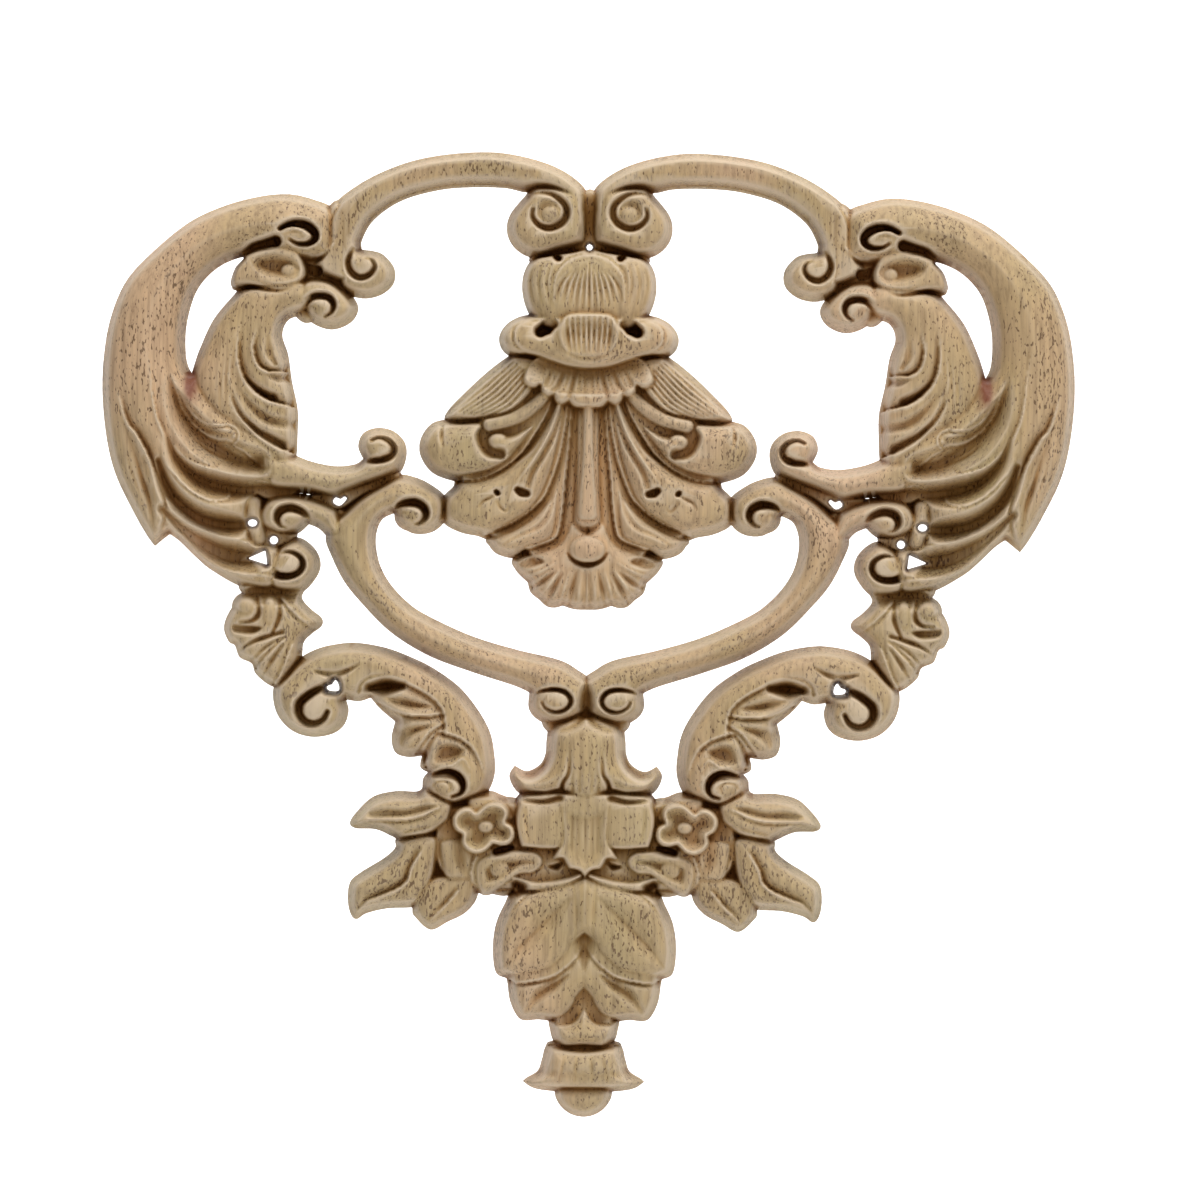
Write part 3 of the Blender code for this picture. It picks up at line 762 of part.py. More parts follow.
def flower(wood):
    """Four-petalled flower beside the bell: one hollow bowl with a raised rim round a small button."""
    leaf_tip = Layer()
    leaf_tip.pillow([(19.4, -62.3), (17.2, -62.9), (15, -64.2), (13.6, -66), (13.6, -66), (13.2, -68),
                     (16, -70),
                     (24, -68), (24, -63)], 4.4, 7.4, 2)
    wood.join(leaf_tip)
    part = Layer()
    centre = (19.8, -69.3)
    outline = [(21.8, -66), (21.8, -66), (22.8, -65.2), (24.2, -65.2), (25.6, -65.9), (26.6, -67.2),
               (26.7, -68.8),
               (26, -70.2), (24.8, -71), (24.8, -71), (24.9, -72.6), (23.8, -74.2), (21.8, -75),
               (19.8, -74.5), (18.2, -73), (18.2, -73), (16.4, -73.3), (14.8, -72.8), (13.9, -71.7),
               (13.7, -70.4),
               (14.2, -69), (15.4, -68.2), (15.4, -68.2), (15, -67), (15.1, -65.8), (16, -64.7),
               (17.8, -64.1),
               (19.8, -64.4)]
    part.pillow(outline, 9.8, 10.2, 0.3, 5)
    part.dish(between(outline, [centre] * len(outline), 0.1), 2.8, 2.6)
    part.bead(centre, (1.5, 1.2), 8, 9.4)
    wood.join(part)
    wood.channel([(17.8, -74.3), (16.4, -73.9), (14.6, -73.5)], (0.3, 0.4, 0.2), 3, 9)


def finial(wood):
    """Turned-looking end: neck ring, lower bell with a flared lip, and a knob."""
    neck = Layer()
    neck.pillow(mirrored([(0, -103.6), (1.6, -105.2), (3, -107), (6.8, -107.6), (6.8, -110), (6, -112.4),
                          (4, -114), (0, -114)]), 5.4, 9.2, 3)
    wood.join(neck)
    part = Layer()
    part.pillow(mirrored([(0, -112), (6.4, -112.2), (7.7, -113.4), (8.4, -116), (9.2, -118.2),
                          (11.4, -119.6),
                          (12.2, -120.3), (12.2, -120.3), (10, -121.7), (6, -122.3), (0, -122.6)]),
                5.8, 9.8, 4)
    part.groove([(10.4, -119.4), (8, -118.4), (4, -118.6), (0, -118.8)], (0.6, 1.6, 1.8), (0.2, 0.6, 0.6))
    part.lap([(12, -120.3), (9.8, -121.4), (6, -122.1), (0, -122.4)][::-1], (0.4, 0.5), 1.2, 0.2, 0.4)
    part.pillow(mirrored([(0, -120), (5, -121), (5.7, -123), (4.6, -125.2), (2.6, -126.8), (0, -127.4)]),
                3.8, 7.4, 3)
    wood.join(part)
    wood.groove([(6.8, -113), (3, -113.6), (0, -113.8)], (0.5, 0.7), 1.7)


def webs(wood):
    """Thin floors left between neighbours, so that their valleys do not open."""
    part = Layer()
    for points in ([(-3, 56.6), (2, 57), (3, 48), (10.8, 45.4), (10.8, 43), (-3, 43)],
                   [(46, 41), (55, 46), (60, 50), (66, 47.4), (70, 44.6), (64, 40), (57, 31), (50, 36)],
                   [(26.6, 0), (28.2, -4), (28.8, -8.6), (22, -10), (12, 4), (8, 16), (14, 22), (26, 14)],
                   [(20, -10), (18, -14), (-4, -20), (-4, 20), (10, 20), (20, 0)],
                   [(27.4, -4.6), (28.4, -3.6), (29.6, -4), (30, -8.6), (28.4, -8.8), (27, -8)],
                   [(66, 4), (58.8, 4.2), (57, 0), (58, -3.4), (63, -5), (68, -2)],
                   [(50, -6), (51, -10), (51.6, -14), (49, -14), (47, -8)],
                   [(38, 1.6), (44, -0.6), (50, -2.6), (55, -3), (55, -5), (50, -6.6), (44, -3.4),
                    (38, -1)],
                   [(63.6, -14.4), (60, -13.6), (58.4, -12.4), (58.2, -11), (62, -10.4), (68.6, -8),
                    (68, -13)],
                   [(68, -18), (69, -23), (58, -24), (57, -20), (62, -19)],
                   [(63, -41), (60, -42), (58, -38), (58.6, -35.6), (62, -38)],
                   [(48, -40), (53, -41), (53, -45), (48.4, -45)],
                   [(8, -47), (-4, -43), (-4, -52), (6.6, -51)],
                   [(11.4, -62.4), (12.6, -65), (14, -67), (14, -74), (14.6, -82), (10, -84), (-4, -84),
                    (-4, -60)],
                   [(31, -63), (19.8, -62.6), (14, -66), (14, -82), (22, -82), (34, -78), (36, -70)],
                   [(5.4, -106.6), (-3, -100), (-3, -112), (6, -111)]):
        part.pillow(points, WEB_HEIGHT, WEB_HEIGHT, 1)
    part.pillow([(48.4, 40), (48, 50), (49.6, 55.4), (52.4, 54), (53.6, 48), (52.6, 41)], 6, 6, 1)
    part.pillow([(-3, -60), (12.6, -63), (13.6, -68), (14, -76), (14, -81), (10, -83.6), (-3, -83.6)],
                6.4, 6.4, 1)
    part.pillow([(12, -65), (12, -80), (20, -81.6), (28, -80), (31, -74), (29, -66),
                 (22, -64)], 5.6, 5.6, 1)
    part.pillow([(-3, -100), (3, -101), (6, -106), (6, -111), (-3, -111)], 6, 6, 1)
    wood.join(part)


def piercings(wood):
    """The crescent slit in the wing and the small holes that the saw left between scrolls."""
    wood.pierce([(69.2, 44), (73.3, 42.5), (76.7, 39.7), (79, 36), (80.4, 30), (80.4, 24), (79.4, 20.8),
                 (79.4, 20.8), (77.8, 25.7), (75, 31.7), (70.8, 36.8), (70.8, 36.8), (71.8, 38.6),
                 (70.9, 41.8)])
    wood.pierce([(67.9, -16.2), (67.9, -16.2), (64.4, -14.6), (64.4, -14.6), (64, -17.4), (64, -17.4)])
    wood.pierce(arc((67, -9.1), (0.9, 0.7), 0, 315))
    wood.pierce(arc((62.7, -12.5), (0.8, 0.8), 0, 315))
    wood.pierce([(48.2, -4.1), (49.6, -5.5), (50.9, -4.8), (50.4, -3.9), (49.4, -4.2), (48.7, -3.7)])
    wood.pierce([(50.2, -40.4), (49.6, -41.2), (49.6, -42.5), (51.6, -42.4), (51.8, -41.6), (50.9, -41.3)])
    wood.pierce(arc((0, 46.5), (0.6, 0.6), -90, 225))


def carve():
    """All the carving, laid into one board from the back forward."""
    wood = Layer()
    for feature in (webs, wing_body, arch, wing_volute, head, neck_volute, stem, small_scrolls, c_scroll,
                    little_shell, acanthus, shell_bed, shell_side_wing, shell_lobe_one, shell_lobe_two,
                    shell_lobe_three, shell_foot, bulb, collar, skirt, side_leaves, bell, centre_leaves,
                    flower, finial):
        feature(wood)
    piercings(wood)
    return wood.height


def front_sheet(height):
    """Carved front surface of the half board as a mesh whose outer edge lies on the back plane."""
    solid = height > 0
    rows, cols = np.nonzero(solid)
    index = np.full(height.shape, -1)
    index[rows, cols] = np.arange(len(rows))
    places = np.column_stack([U_LINE[cols], -height[rows, cols], Z_LINE[rows]]) * MM
    extra = []
    rims = {}

    def rim(a, b):
        key = (min(a, b), max(a, b))
        if key not in rims:
            low, high = height[key[0]], height[key[1]]
            share = min(max(low / (low - high), RIM_MARGIN), 1 - RIM_MARGIN)
            u = U_LINE[key[0][1]] + share * (U_LINE[key[1][1]] - U_LINE[key[0][1]])
            z = Z_LINE[key[0][0]] + share * (Z_LINE[key[1][0]] - Z_LINE[key[0][0]])
            rims[key] = len(places) + len(extra)
            extra.append((u * MM, 0.0, z * MM))
        return rims[key]

    whole = solid[:-1, :-1] & solid[1:, :-1] & solid[:-1, 1:] & solid[1:, 1:]
    faces = np.column_stack([index[:-1, :-1][whole], index[:-1, 1:][whole],
                             index[1:, 1:][whole], index[1:, :-1][whole]]).tolist()
    busy = (solid[:-1, :-1] | solid[1:, :-1] | solid[:-1, 1:] | solid[1:, 1:]) & ~whole
    for row, col in np.argwhere(busy).tolist():
        ring = ((row, col), (row, col + 1), (row + 1, col + 1), (row + 1, col))
        face = []
        for here, after in zip(ring, ring[1:] + ring[:1]):
            if solid[here]:
                face.append(int(index[here]))
            if solid[here] != solid[after]:
                face.append(rim(here, after))
        faces.append(face)
    mesh = bpy.data.meshes.new("half_front")
    mesh.from_pydata(np.vstack([places, extra]).tolist(), [], faces)
    return mesh


def evaluated_mesh(piece):
    """Mesh of an object with its modifiers applied."""
    graph = bpy.context.evaluated_depsgraph_get()
    return bpy.data.meshes.new_from_object(piece.evaluated_get(graph))


def halve_chords(body):
    """Halves the front's edges that cross from rim to rim, to keep them apart from those of the back."""
    chords = [edge for edge in body.edges if not edge.is_boundary and all(v.is_boundary for v in edge.verts)]
    for chord in chords:
        middle = bmesh.utils.edge_split(chord, chord.verts[0], 0.5)[1]
        middle.co.y = min(middle.co.y, -CHORD_RISE)
        for face in list(middle.link_faces):
            ring = list(face.verts)
            bmesh.utils.face_split(face, middle, ring[ring.index(middle) - 2])


def within(spots, edges):
    """Which points of the back lie on wood: a line to the right meets the rim an odd number of times."""
    odd = np.zeros(len(spots), bool)
    for start, end in edges:
        if start[1] != end[1]:
            level = (start[1] > spots[:, 1]) != (end[1] > spots[:, 1])
            crossing = start[0] + (spots[:, 1] - start[1]) * (end[0] - start[0]) / (end[1] - start[1])
            odd ^= level & (crossing > spots[:, 0])
    return odd


def close_back(mesh):
    """Brings the outer edge onto the back plane and fills the flat back."""
    body = bmesh.new()
    body.from_mesh(mesh)
    bmesh.ops.triangulate(body, faces=body.faces)
    halve_chords(body)
    for vert in body.verts:
        if vert.is_boundary:
            vert.co.y = 0
    rim = [vert for vert in body.verts if vert.is_boundary]
    places = {vert: i for i, vert in enumerate(rim)}
    edges = [tuple(places[vert] for vert in edge.verts) for edge in body.edges if edge.is_boundary]
    spots = np.array([(vert.co.x, vert.co.z) for vert in rim])
    found = delaunay_2d_cdt([Vector(spot) for spot in spots], edges, [], WHOLE_HULL, MERGE_DISTANCE)
    corners = [rim[sources[0]] for sources in found[3]]
    middles = np.array([np.mean([found[0][i] for i in triangle], axis=0) for triangle in found[2]])
    for triangle, wooden in zip(found[2], within(middles, spots[edges])):
        if wooden:
            body.faces.new([corners[i] for i in triangle])
    bmesh.ops.recalc_face_normals(body, faces=body.faces)
    body.to_mesh(mesh)
    body.free()


def wood_material():
    """Pale unfinished hardwood."""
    material = bpy.data.materials.new("wood")
    material.use_nodes = True
    shader = material.node_tree.nodes["Principled BSDF"]
    shader.inputs["Base Color"].default_value = WOOD_COLOUR
    shader.inputs["Roughness"].default_value = WOOD_ROUGHNESS
    shader.inputs["Metallic"].default_value = 0.0
    return material


def build():
    """Makes the applique as one object in a collection of its own."""
    for thing in list(bpy.data.objects):
        bpy.data.objects.remove(thing)
    collection = bpy.data.collections.new("wood_applique")
    bpy.context.scene.collection.children.link(collection)
    half = bpy.data.objects.new("half_front", front_sheet(carve()))
    collection.objects.link(half)
    mirror = half.modifiers.new("other_half", "MIRROR")
    mirror.merge_threshold = SEAM_DISTANCE
    bpy.context.view_layer.update()
    whole = evaluated_mesh(half)
    half.modifiers.remove(mirror)
    half.data = whole
    whole.calc_loop_triangles()
    thin = half.modifiers.new("fewer_faces", "DECIMATE")
    thin.ratio = FACES_WANTED / len(whole.loop_triangles)
    thin.use_symmetry = True
    thin.symmetry_axis = "X"
    bpy.context.view_layer.update()
    carved = evaluated_mesh(half)
    bpy.data.objects.remove(half)
    close_back(carved)
    carved.name = "carved_applique"
    carved.materials.append(wood_material())
    carved.shade_smooth()
    carved.set_sharp_from_angle(angle=SHARP_ANGLE)
    collection.objects.link(bpy.data.objects.new("carved_applique", carved))


build()
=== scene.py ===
# The looks of the carved wood applique: the board carved finely, in pale rubberwood.
# The carving is a field of heights above the flat back, in millimetres over the half board:
# (distance from the centre line, height), with the zero point at the middle of the shell.
# A point written twice in a row is a sharp corner; the curves run smoothly through all other points.
import math

import bmesh
import bpy
import numpy as np
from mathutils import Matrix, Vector
from mathutils.geometry import delaunay_2d_cdt


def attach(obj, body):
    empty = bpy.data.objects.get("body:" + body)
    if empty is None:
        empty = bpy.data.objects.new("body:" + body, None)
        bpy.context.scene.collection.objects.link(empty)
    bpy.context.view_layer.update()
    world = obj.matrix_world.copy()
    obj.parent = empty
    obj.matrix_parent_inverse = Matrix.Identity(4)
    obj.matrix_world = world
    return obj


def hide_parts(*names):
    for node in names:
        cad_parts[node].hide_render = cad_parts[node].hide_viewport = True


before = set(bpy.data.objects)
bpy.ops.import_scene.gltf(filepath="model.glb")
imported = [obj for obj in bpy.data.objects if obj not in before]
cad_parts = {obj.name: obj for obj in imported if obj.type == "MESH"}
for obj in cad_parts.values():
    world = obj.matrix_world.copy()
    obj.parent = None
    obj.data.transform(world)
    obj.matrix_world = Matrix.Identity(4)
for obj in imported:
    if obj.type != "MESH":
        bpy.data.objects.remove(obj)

NODE = "carved_applique"
MM = 0.001

# The board and its grid, in millimetres.
CELL = 0.2
HALF_WIDTH = 98.5
TOP = 66.5
BOTTOM = -128.5
CURVE_STEP = 0.5
THINNEST = 1.6
WEB_HEIGHT = 2.8
VOID = -9.0
ROUNDED_ABOVE = 2.5
EDGE_SOFTNESS = 0.16

# How steeply the sides of bodies and of cuts rise.
DRAFT = 4.5
STEEP = 8.0

# How far past a shape its part of the board is worked out, in millimetres.
BODY_MARGIN = 2.0
BAND_MARGIN = 3.0
CHANNEL_MARGIN = 4.0
GROOVE_MARGIN = 1.0
LAP_MARGIN = 0.5
HOLE_MARGIN = 1.5

# The mesh, with its distances in metres.
FACES_WANTED = 188000
CHORD_RISE = 0.0002
WHOLE_HULL = 0
MERGE_DISTANCE = 0.000000001
MIRROR_MERGE = 0.00001
RIM_MARGIN = 0.1
INSIDE_LAST_CELL = 1.001
SHARP_ANGLE = math.radians(60)

# Hollows and creases, darkened in the wood's colour as painted shade, and crests, paled as a painted
# highlight: the radius they are averaged over, and the difference that counts as full. They fade out
# over the rim's radius near every outline, and the burn mark sits on each wing.
RIM_RADIUS = 1.6
HOLLOW_RADIUS = 1.7
HOLLOW_DEPTH = 4.6
CREASE_RADIUS = 0.6
CREASE_DEPTH = 1.3
CREST_RADIUS = 0.2
CREST_RISE = 0.22
BURN_PLACE = (79.2, 18.4)
BURN_SPREAD = (1.2, 8)
BURN_STRENGTH = 2

# The wood: how fine its patterns are across and along the grain, and its colours.
BROAD_SCALE = (30, 30, 14)
GRAIN_SCALE = (1100, 1100, 50)
GRAIN_ROUGHNESS = 0.65
PORE_SCALE = (2400, 2400, 900)
GATHER_SCALE = (90, 90, 40)
GATHER_SHARE = 0.35
PORE_FROM = 0.79
PORE_FULL = 0.86
PORE_DARKNESS = 0.9
CREASE_SHARE = 0.3
WOOD_TONES = ((0.36, (0.405, 0.300, 0.148)), (0.50, (0.45, 0.314, 0.158)), (0.64, (0.54, 0.358, 0.210)))
GRAIN_TONES = ((0.3, (0.66, 0.62, 0.58)), (0.52, (1, 1, 1)), (0.7, (1.16, 1.15, 1.12)))
# Painted shade: the wood's colour darkens through brown to near black in hollows and creases.
PAINTED_SHADE_TONES = ((0.03, (1, 1, 1)), (0.25, (0.71, 0.59, 0.44)), (0.5, (0.45, 0.31, 0.17)),
               (0.9, (0.20, 0.10, 0.035)))
PORE_COLOUR = (0.13, 0.07, 0.03, 1)
# Painted highlight: pale colour on thin crests for light caught on sharp edges, together with the paler
# wear of sanded edges.
CREST_HIGHLIGHT_COLOUR = (0.62, 0.49, 0.34, 1)
BURN_COLOUR = (0.20, 0.065, 0.03, 1)
WOOD_ROUGHNESS = 0.55
GLOSS = 0.4
GLOSS_IN_SHADE = 0.02
GLOSS_FADES = (0.1, 0.6)
GRAIN_BUMP = 0.3
GRAIN_HEIGHT = 0.0002
PORE_BUMP = 0.6
PORE_DEPTH = 0.00015

WHITE = (1, 1, 1, 1)

# The stage, in metres. The backdrop is far enough behind for a camera to look at the back before it.
STAGE_HALF_WIDTH = 12
STAGE_FRONT = -4.0
STAGE_BACK = 3.0
FLOOR_LEVEL = -0.9
BACKDROP_TOP = 10
STAGE_COLOUR = (0.9, 0.9, 0.9, 1)
STAGE_ROUGHNESS = 0.9
SKY_STRENGTH = 0.16

# The photograph and the camera.
PHOTO_WIDTH = 1200
PHOTO_CENTRE_LINE = 587
PHOTO_ZERO_ROW = 480
PHOTO_PIXEL = 0.2 * MM
PHOTO_LEAN = math.radians(0.42)
LENS = 250
SENSOR = 36

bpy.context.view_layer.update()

U_LINE = np.arange(0.0, HALF_WIDTH, CELL)
Z_LINE = np.arange(BOTTOM, TOP, CELL)
U_GRID, Z_GRID = np.meshgrid(U_LINE, Z_LINE)


def curve(points, closed=False):
    """Smooth line through the given points; a point written twice stays a corner."""
    count = len(points)
    spans = count if closed else count - 1
    line = []
    for i in range(spans):
        here = np.array(points[i], float)
        after = np.array(points[(i + 1) % count], float)
        if np.allclose(here, after):
            continue
        before = np.array(points[i - 1] if closed or i else points[i], float)
        beyond = np.array(points[(i + 2) % count] if closed or i + 2 < count else after, float)
        steps = max(2, math.ceil(np.linalg.norm(after - here) / CURVE_STEP))
        leave = (after - before) / 2
        arrive = (beyond - here) / 2
        for k in range(steps):
            t = k / steps
            line.append((2 * t**3 - 3 * t**2 + 1) * here + (t**3 - 2 * t**2 + t) * leave
                        + (3 * t**2 - 2 * t**3) * after + (t**3 - t**2) * arrive)
    if not closed:
        line.append(np.array(points[-1], float))
    return np.array(line)


def mirrored(points):
    """Whole outline of a shape that crosses the centre line, from its half, top to bottom."""
    inner = [p for p in points if p[0] > 0]
    return list(points) + [(-u, z) for u, z in reversed(inner)]


def arc(centre, radii, start, end, count=8):
    """Points on an ellipse between two angles in degrees."""
    angles = np.radians(np.linspace(start, end, count))
    return [(centre[0] + radii[0] * math.cos(a), centre[1] + radii[1] * math.sin(a)) for a in angles]


def between(first, last, share):
    """A path part of the way from one path to another with as many points."""
    return [(a[0] + share * (b[0] - a[0]), a[1] + share * (b[1] - a[1])) for a, b in zip(first, last)]


def window(line, margin):
    """The rows and columns of the board that lie near a line."""
    low = line.min(axis=0) - margin
    high = line.max(axis=0) + margin
    rows = slice(*np.searchsorted(Z_LINE, (low[1], high[1])))
    cols = slice(*np.searchsorted(U_LINE, (low[0], high[0])))
    return rows, cols


def nearest(line, area, closed=False):
    """How far each point of an area is from a line, how far along it, and whether on its left."""
    u = U_GRID[area]
    z = Z_GRID[area]
    ends = np.vstack([line, line[:1]]) if closed else line
    lengths = np.linalg.norm(np.diff(ends, axis=0), axis=1)
    marks = np.concatenate([[0.0], np.cumsum(lengths)]) / lengths.sum()
    best = np.full(u.shape, np.inf)
    along = np.zeros(u.shape)
    left = np.zeros(u.shape, bool)
    for a, b, low, high in zip(ends, ends[1:], marks, marks[1:]):
        run = b - a
        t = np.clip(((u - a[0]) * run[0] + (z - a[1]) * run[1]) / max(run @ run, 1e-9), 0, 1)
        away = np.hypot(u - a[0] - t * run[0], z - a[1] - t * run[1])
        closer = away < best
        best = np.where(closer, away, best)
        along = np.where(closer, low + t * (high - low), along)
        left = np.where(closer, run[0] * (z - a[1]) > run[1] * (u - a[0]), left)
    return best, along, left


def near_path(points, margin):
    """The part of the board near a smooth path, with what nearest tells of it."""
    line = curve(points)
    area = window(line, margin)
    return area, *nearest(line, area)


def depth_inside(outline, area):
    """Distance inside a closed outline, negative outside it."""
    u = U_GRID[area]
    z = Z_GRID[area]
    odd = np.zeros(u.shape, bool)
    for a, b in zip(outline, np.roll(outline, -1, axis=0)):
        if a[1] != b[1]:
            crossing = a[0] + (z - a[1]) * (b[0] - a[0]) / (b[1] - a[1])
            odd ^= ((a[1] > z) != (b[1] > z)) & (u < crossing)
    away = nearest(outline, area, closed=True)[0]
    return np.where(odd, away, -away)


def ease(t):
    """Soft rise from none to full."""
    return t * t * (3 - 2 * t)


def spread(values, along):
    """A size that changes evenly along a path, or one size all along it."""
    values = np.atleast_1d(values)
    return np.interp(along, np.linspace(0, 1, len(values)), values)


class Layer:
    """Heights of wood above the flat back; below zero there is none."""

    def __init__(self):
        self.height = np.full(U_GRID.shape, VOID)

    def join(self, other):
        self.height = np.maximum(self.height, other.height)

    def lift_to(self, area, heights):
        """Adds wood up to these heights."""
        self.height[area] = np.maximum(self.height[area], heights)

    def pillow(self, points, edge, crest, reach, base=0):
        """A body with steep sides from its outline at base up to edge, then rounded up to crest."""
        outline = curve(points, closed=True)
        area = window(outline, BODY_MARGIN)
        inside = depth_inside(outline, area)
        slope = STEEP if base else DRAFT
        t = np.clip((inside - (edge - base) / slope) / reach, 0, 1)
        top = edge + (crest - edge) * np.sqrt(1 - (1 - t)**2)
        self.lift_to(area, np.minimum(base + slope * inside, top))

    def band(self, points, widths, edge, crest):
        """A rounded strand of half widths that change along its path."""
        area, away, along, _ = near_path(points, np.max(widths) + BAND_MARGIN)
        width = spread(widths, along)
        crests = spread(crest, along)
        edges = np.minimum(spread(edge, along), crests)
        share = np.clip(away / width, 0, 1)
        top = edges + (crests - edges) * np.sqrt(1 - share**2)
        side = edges - DRAFT * (away - width)
        self.lift_to(area, np.where(away < width, top, side))

    def bead(self, centre, radii, edge, top):
        """A round or oval knob."""
        area = window(np.array([centre]), max(radii) + BODY_MARGIN)
        out = np.hypot((U_GRID[area] - centre[0]) / radii[0], (Z_GRID[area] - centre[1]) / radii[1])
        dome = edge + (top - edge) * np.sqrt(np.clip(1 - out**2, 0, 1))
        side = edge - DRAFT * (out - 1) * min(radii)
        self.lift_to(area, np.where(out < 1, dome, side))

    def lower(self, area, heights):
        """Cuts down to these heights, but never through the wood."""
        here = self.height[area]
        cut = np.maximum(heights, np.minimum(here, THINNEST))
        self.height[area] = np.where(here > 0, np.minimum(here, cut), here)

    def swell(self, area, rises):
        """Raises the wood by these rises where it is thick enough."""
        self.height[area] += np.where(self.height[area] > THINNEST, rises, 0)

    def groove(self, points, widths, depth):
        """A soft-sided cut of a given depth below the surface."""
        area, away, along, _ = near_path(points, np.max(widths) + GROOVE_MARGIN)
        t = np.clip(1 - away / spread(widths, along), 0, 1)
        self.lower(area, self.height[area] - spread(depth, along) * ease(t))

    def ridge(self, points, widths, rise):
        """A thin raised line."""
        area, away, along, _ = near_path(points, np.max(widths) + GROOVE_MARGIN)
        t = np.clip(1 - away / spread(widths, along), 0, 1)
        self.swell(area, spread(rise, along) * ease(t))

    def lap(self, points, rise, reach, drop, foot):
        """A crisp overlap: the wood lifts towards the path on its left and drops beyond it."""
        area, away, along, left = near_path(points, max(reach, foot) + LAP_MARGIN)
        self.swell(area, np.where(left, spread(rise, along) * np.clip(1 - away / reach, 0, 1)**2, 0))
        fall = np.where(left, 0, spread(drop, along) * np.clip(1 - away / foot, 0, 1)**2)
        self.lower(area, self.height[area] - fall)

    def channel(self, points, widths, floor, wall=STEEP):
        """A trench with a flat floor at a given height above the back and steep walls."""
        area, away, along, _ = near_path(points, np.max(widths) + CHANNEL_MARGIN)
        outside = np.maximum(away - spread(widths, along), 0)
        self.lower(area, spread(floor, along) + wall * outside)

    def dish(self, points, depth, reach):
        """A hollow with this outline, falling softly over reach."""
        outline = curve(points, closed=True)
        area = window(outline, GROOVE_MARGIN)
        t = np.clip(depth_inside(outline, area) / reach, 0, 1)
        self.lower(area, self.height[area] - depth * ease(t))

    def pierce(self, points):
        """A hole right through."""
        outline = curve(points, closed=True)
        area = window(outline, HOLE_MARGIN)
        self.height[area] = np.minimum(self.height[area], -STEEP * depth_inside(outline, area))


def arch(wood):
    """Flat arched band across the top, rolled into a volute beside the centre line and at its foot."""
    part = Layer()
    under = [(13, 57.4), (17, 58.2), (24, 58.3), (30.7, 57.6), (37.9, 55.4), (43.2, 51.6), (45.5, 47.6)]
    part.pillow([(50.6, 51), (51, 54.5), (48.9, 56.9), (43.2, 60.5), (36, 63.4), (28.4, 64.9),
        (20, 65.4), (13.2, 64.5), (7.1, 62.6), (2.5, 59.8), (0.5, 57), (0.3, 52), (0.3, 49), (3.4, 50),
        (3.9, 53), (5, 55.6), (7.4, 57.2), (10, 57.7), *under, (45.6, 45.6), (46.4, 42), (47, 38),
        (50, 38), (50.6, 44)], 4.8, 7.8, 0.7)
    part.groove(under, (5.5, 7, 7, 7, 6.5, 5.5, 4), (0.5, 1, 1, 1, 0.9, 0.7, 0.3))
    part.pillow([(0.3, 54), (0.3, 48), (2, 46.4), (6, 45.2), (9.5, 44.2), (13, 44.8), (15.6, 47),
        (16.6, 50), (15.8, 53.2), (12.9, 56.8), (12.9, 56.8), (11, 58.8), (6, 59), (2, 58)], 5, 8.4,
        2.4)
    part.pillow([(48.6, 47), (45.6, 45.8), (43.4, 45.5), (41.2, 44.7), (39, 42), (39.2, 38.8),
        (42, 36.5), (46, 36), (50, 38), (50.4, 43)], 4.8, 8, 2.2)
    part.pillow([(45, 58), (49.8, 55.8), (51.8, 53.6), (52.8, 51), (53, 47), (54, 44.6), (55.4, 42.8),
        (54, 40.4), (50, 38.6), (47.6, 38), (47.2, 42), (46.4, 48), (44.4, 53)], 4.8, 7.6, 0.7)
    part.channel([(13.2, 57.2), (11.6, 56.8), (10, 57.2), (7.5, 56.7), (5.2, 55), (4.6, 52.9),
        (5.6, 51), (7.9, 50), (10.1, 50.6), (11.4, 52.2), (11.3, 53.8)], (0.1, 0.2, 0.35, 0.35, 0.1),
        (6, 5.8, 5.6, 5.6, 6.6), 5)
    part.dish([(10.9, 53.2), (10, 55.6), (7.9, 56.2), (5.6, 55.4), (4.9, 53), (5.7, 51), (7.9, 50.3),
        (10.2, 51.1)], 1.3, 1.3)
    part.bead((7.9, 52.7), (2.1, 1.9), 6.6, 8.5)
    part.channel([(46.8, 46), (47.7, 44.4), (48.1, 42.7), (47.4, 40.9), (45.7, 39.9), (43.8, 40.5),
        (42.8, 42), (43.4, 43.4), (44.6, 43.9)], (0.1, 0.3, 0.4, 0.35, 0.2, 0.1), (5.4, 5, 5, 6.2), 7)
    part.bead((45.5, 42.3), (1.5, 1.4), 6.8, 7.9)
    part.channel([(0, 58), (0, 52), (0, 46)], (0.2, 0.35, 0.8), (5.4, 4, 3), 2.4)
    wood.join(part)


def bulb(wood):
    """Swelling bud between the volutes and the collar, with a finely scored petal in front."""
    part = Layer()
    part.pillow(mirrored([(0, 45.8), (4, 45.2), (8, 44.6), (10.8, 43.8), (12.4, 41.6), (12.9, 38.4),
        (12.3, 35.1), (10.9, 32.4), (8, 30), (0, 29)]), 7, 10.8, 5.4, 4.5)
    for side in (11.4, 9.8, 8.2):
        part.groove([(side - 0.4, 42.8), (side + 0.3, 39), (side - 0.4, 34.8)], (0.2, 0.4, 0.2),
            (0.3, 0.8, 0.3))
    part.lap([(7.2, 35), (7.3, 38), (6.6, 41), (4.6, 43.4), (2, 44.6), (-1, 44.8)], (0.1, 0.5), 1.2,
        (0.3, 1.2, 0.6), 1.4)
    for top, foot in ((0, 0), (0.5, 1.3), (1.0, 2.6), (1.6, 3.9), (2.4, 5.2), (3.4, 6.6)):
        part.groove([(top, 43.2 - 0.5 * top), (0.55 * (top + foot), 39), (foot, 33.4 + 0.3 * foot)],
            (0.15, 0.4, 0.3), (0.4, 1.2, 0.2))
    wood.join(part)
    wood.groove([(2, 45.7), (7, 44.9), (11.4, 44)], (0.3, 0.5, 0.4), (0.4, 0.8, 0.6))
    wood.channel([(6.7, 44.5), (6.2, 44.1)], 0.3, 3, 9)


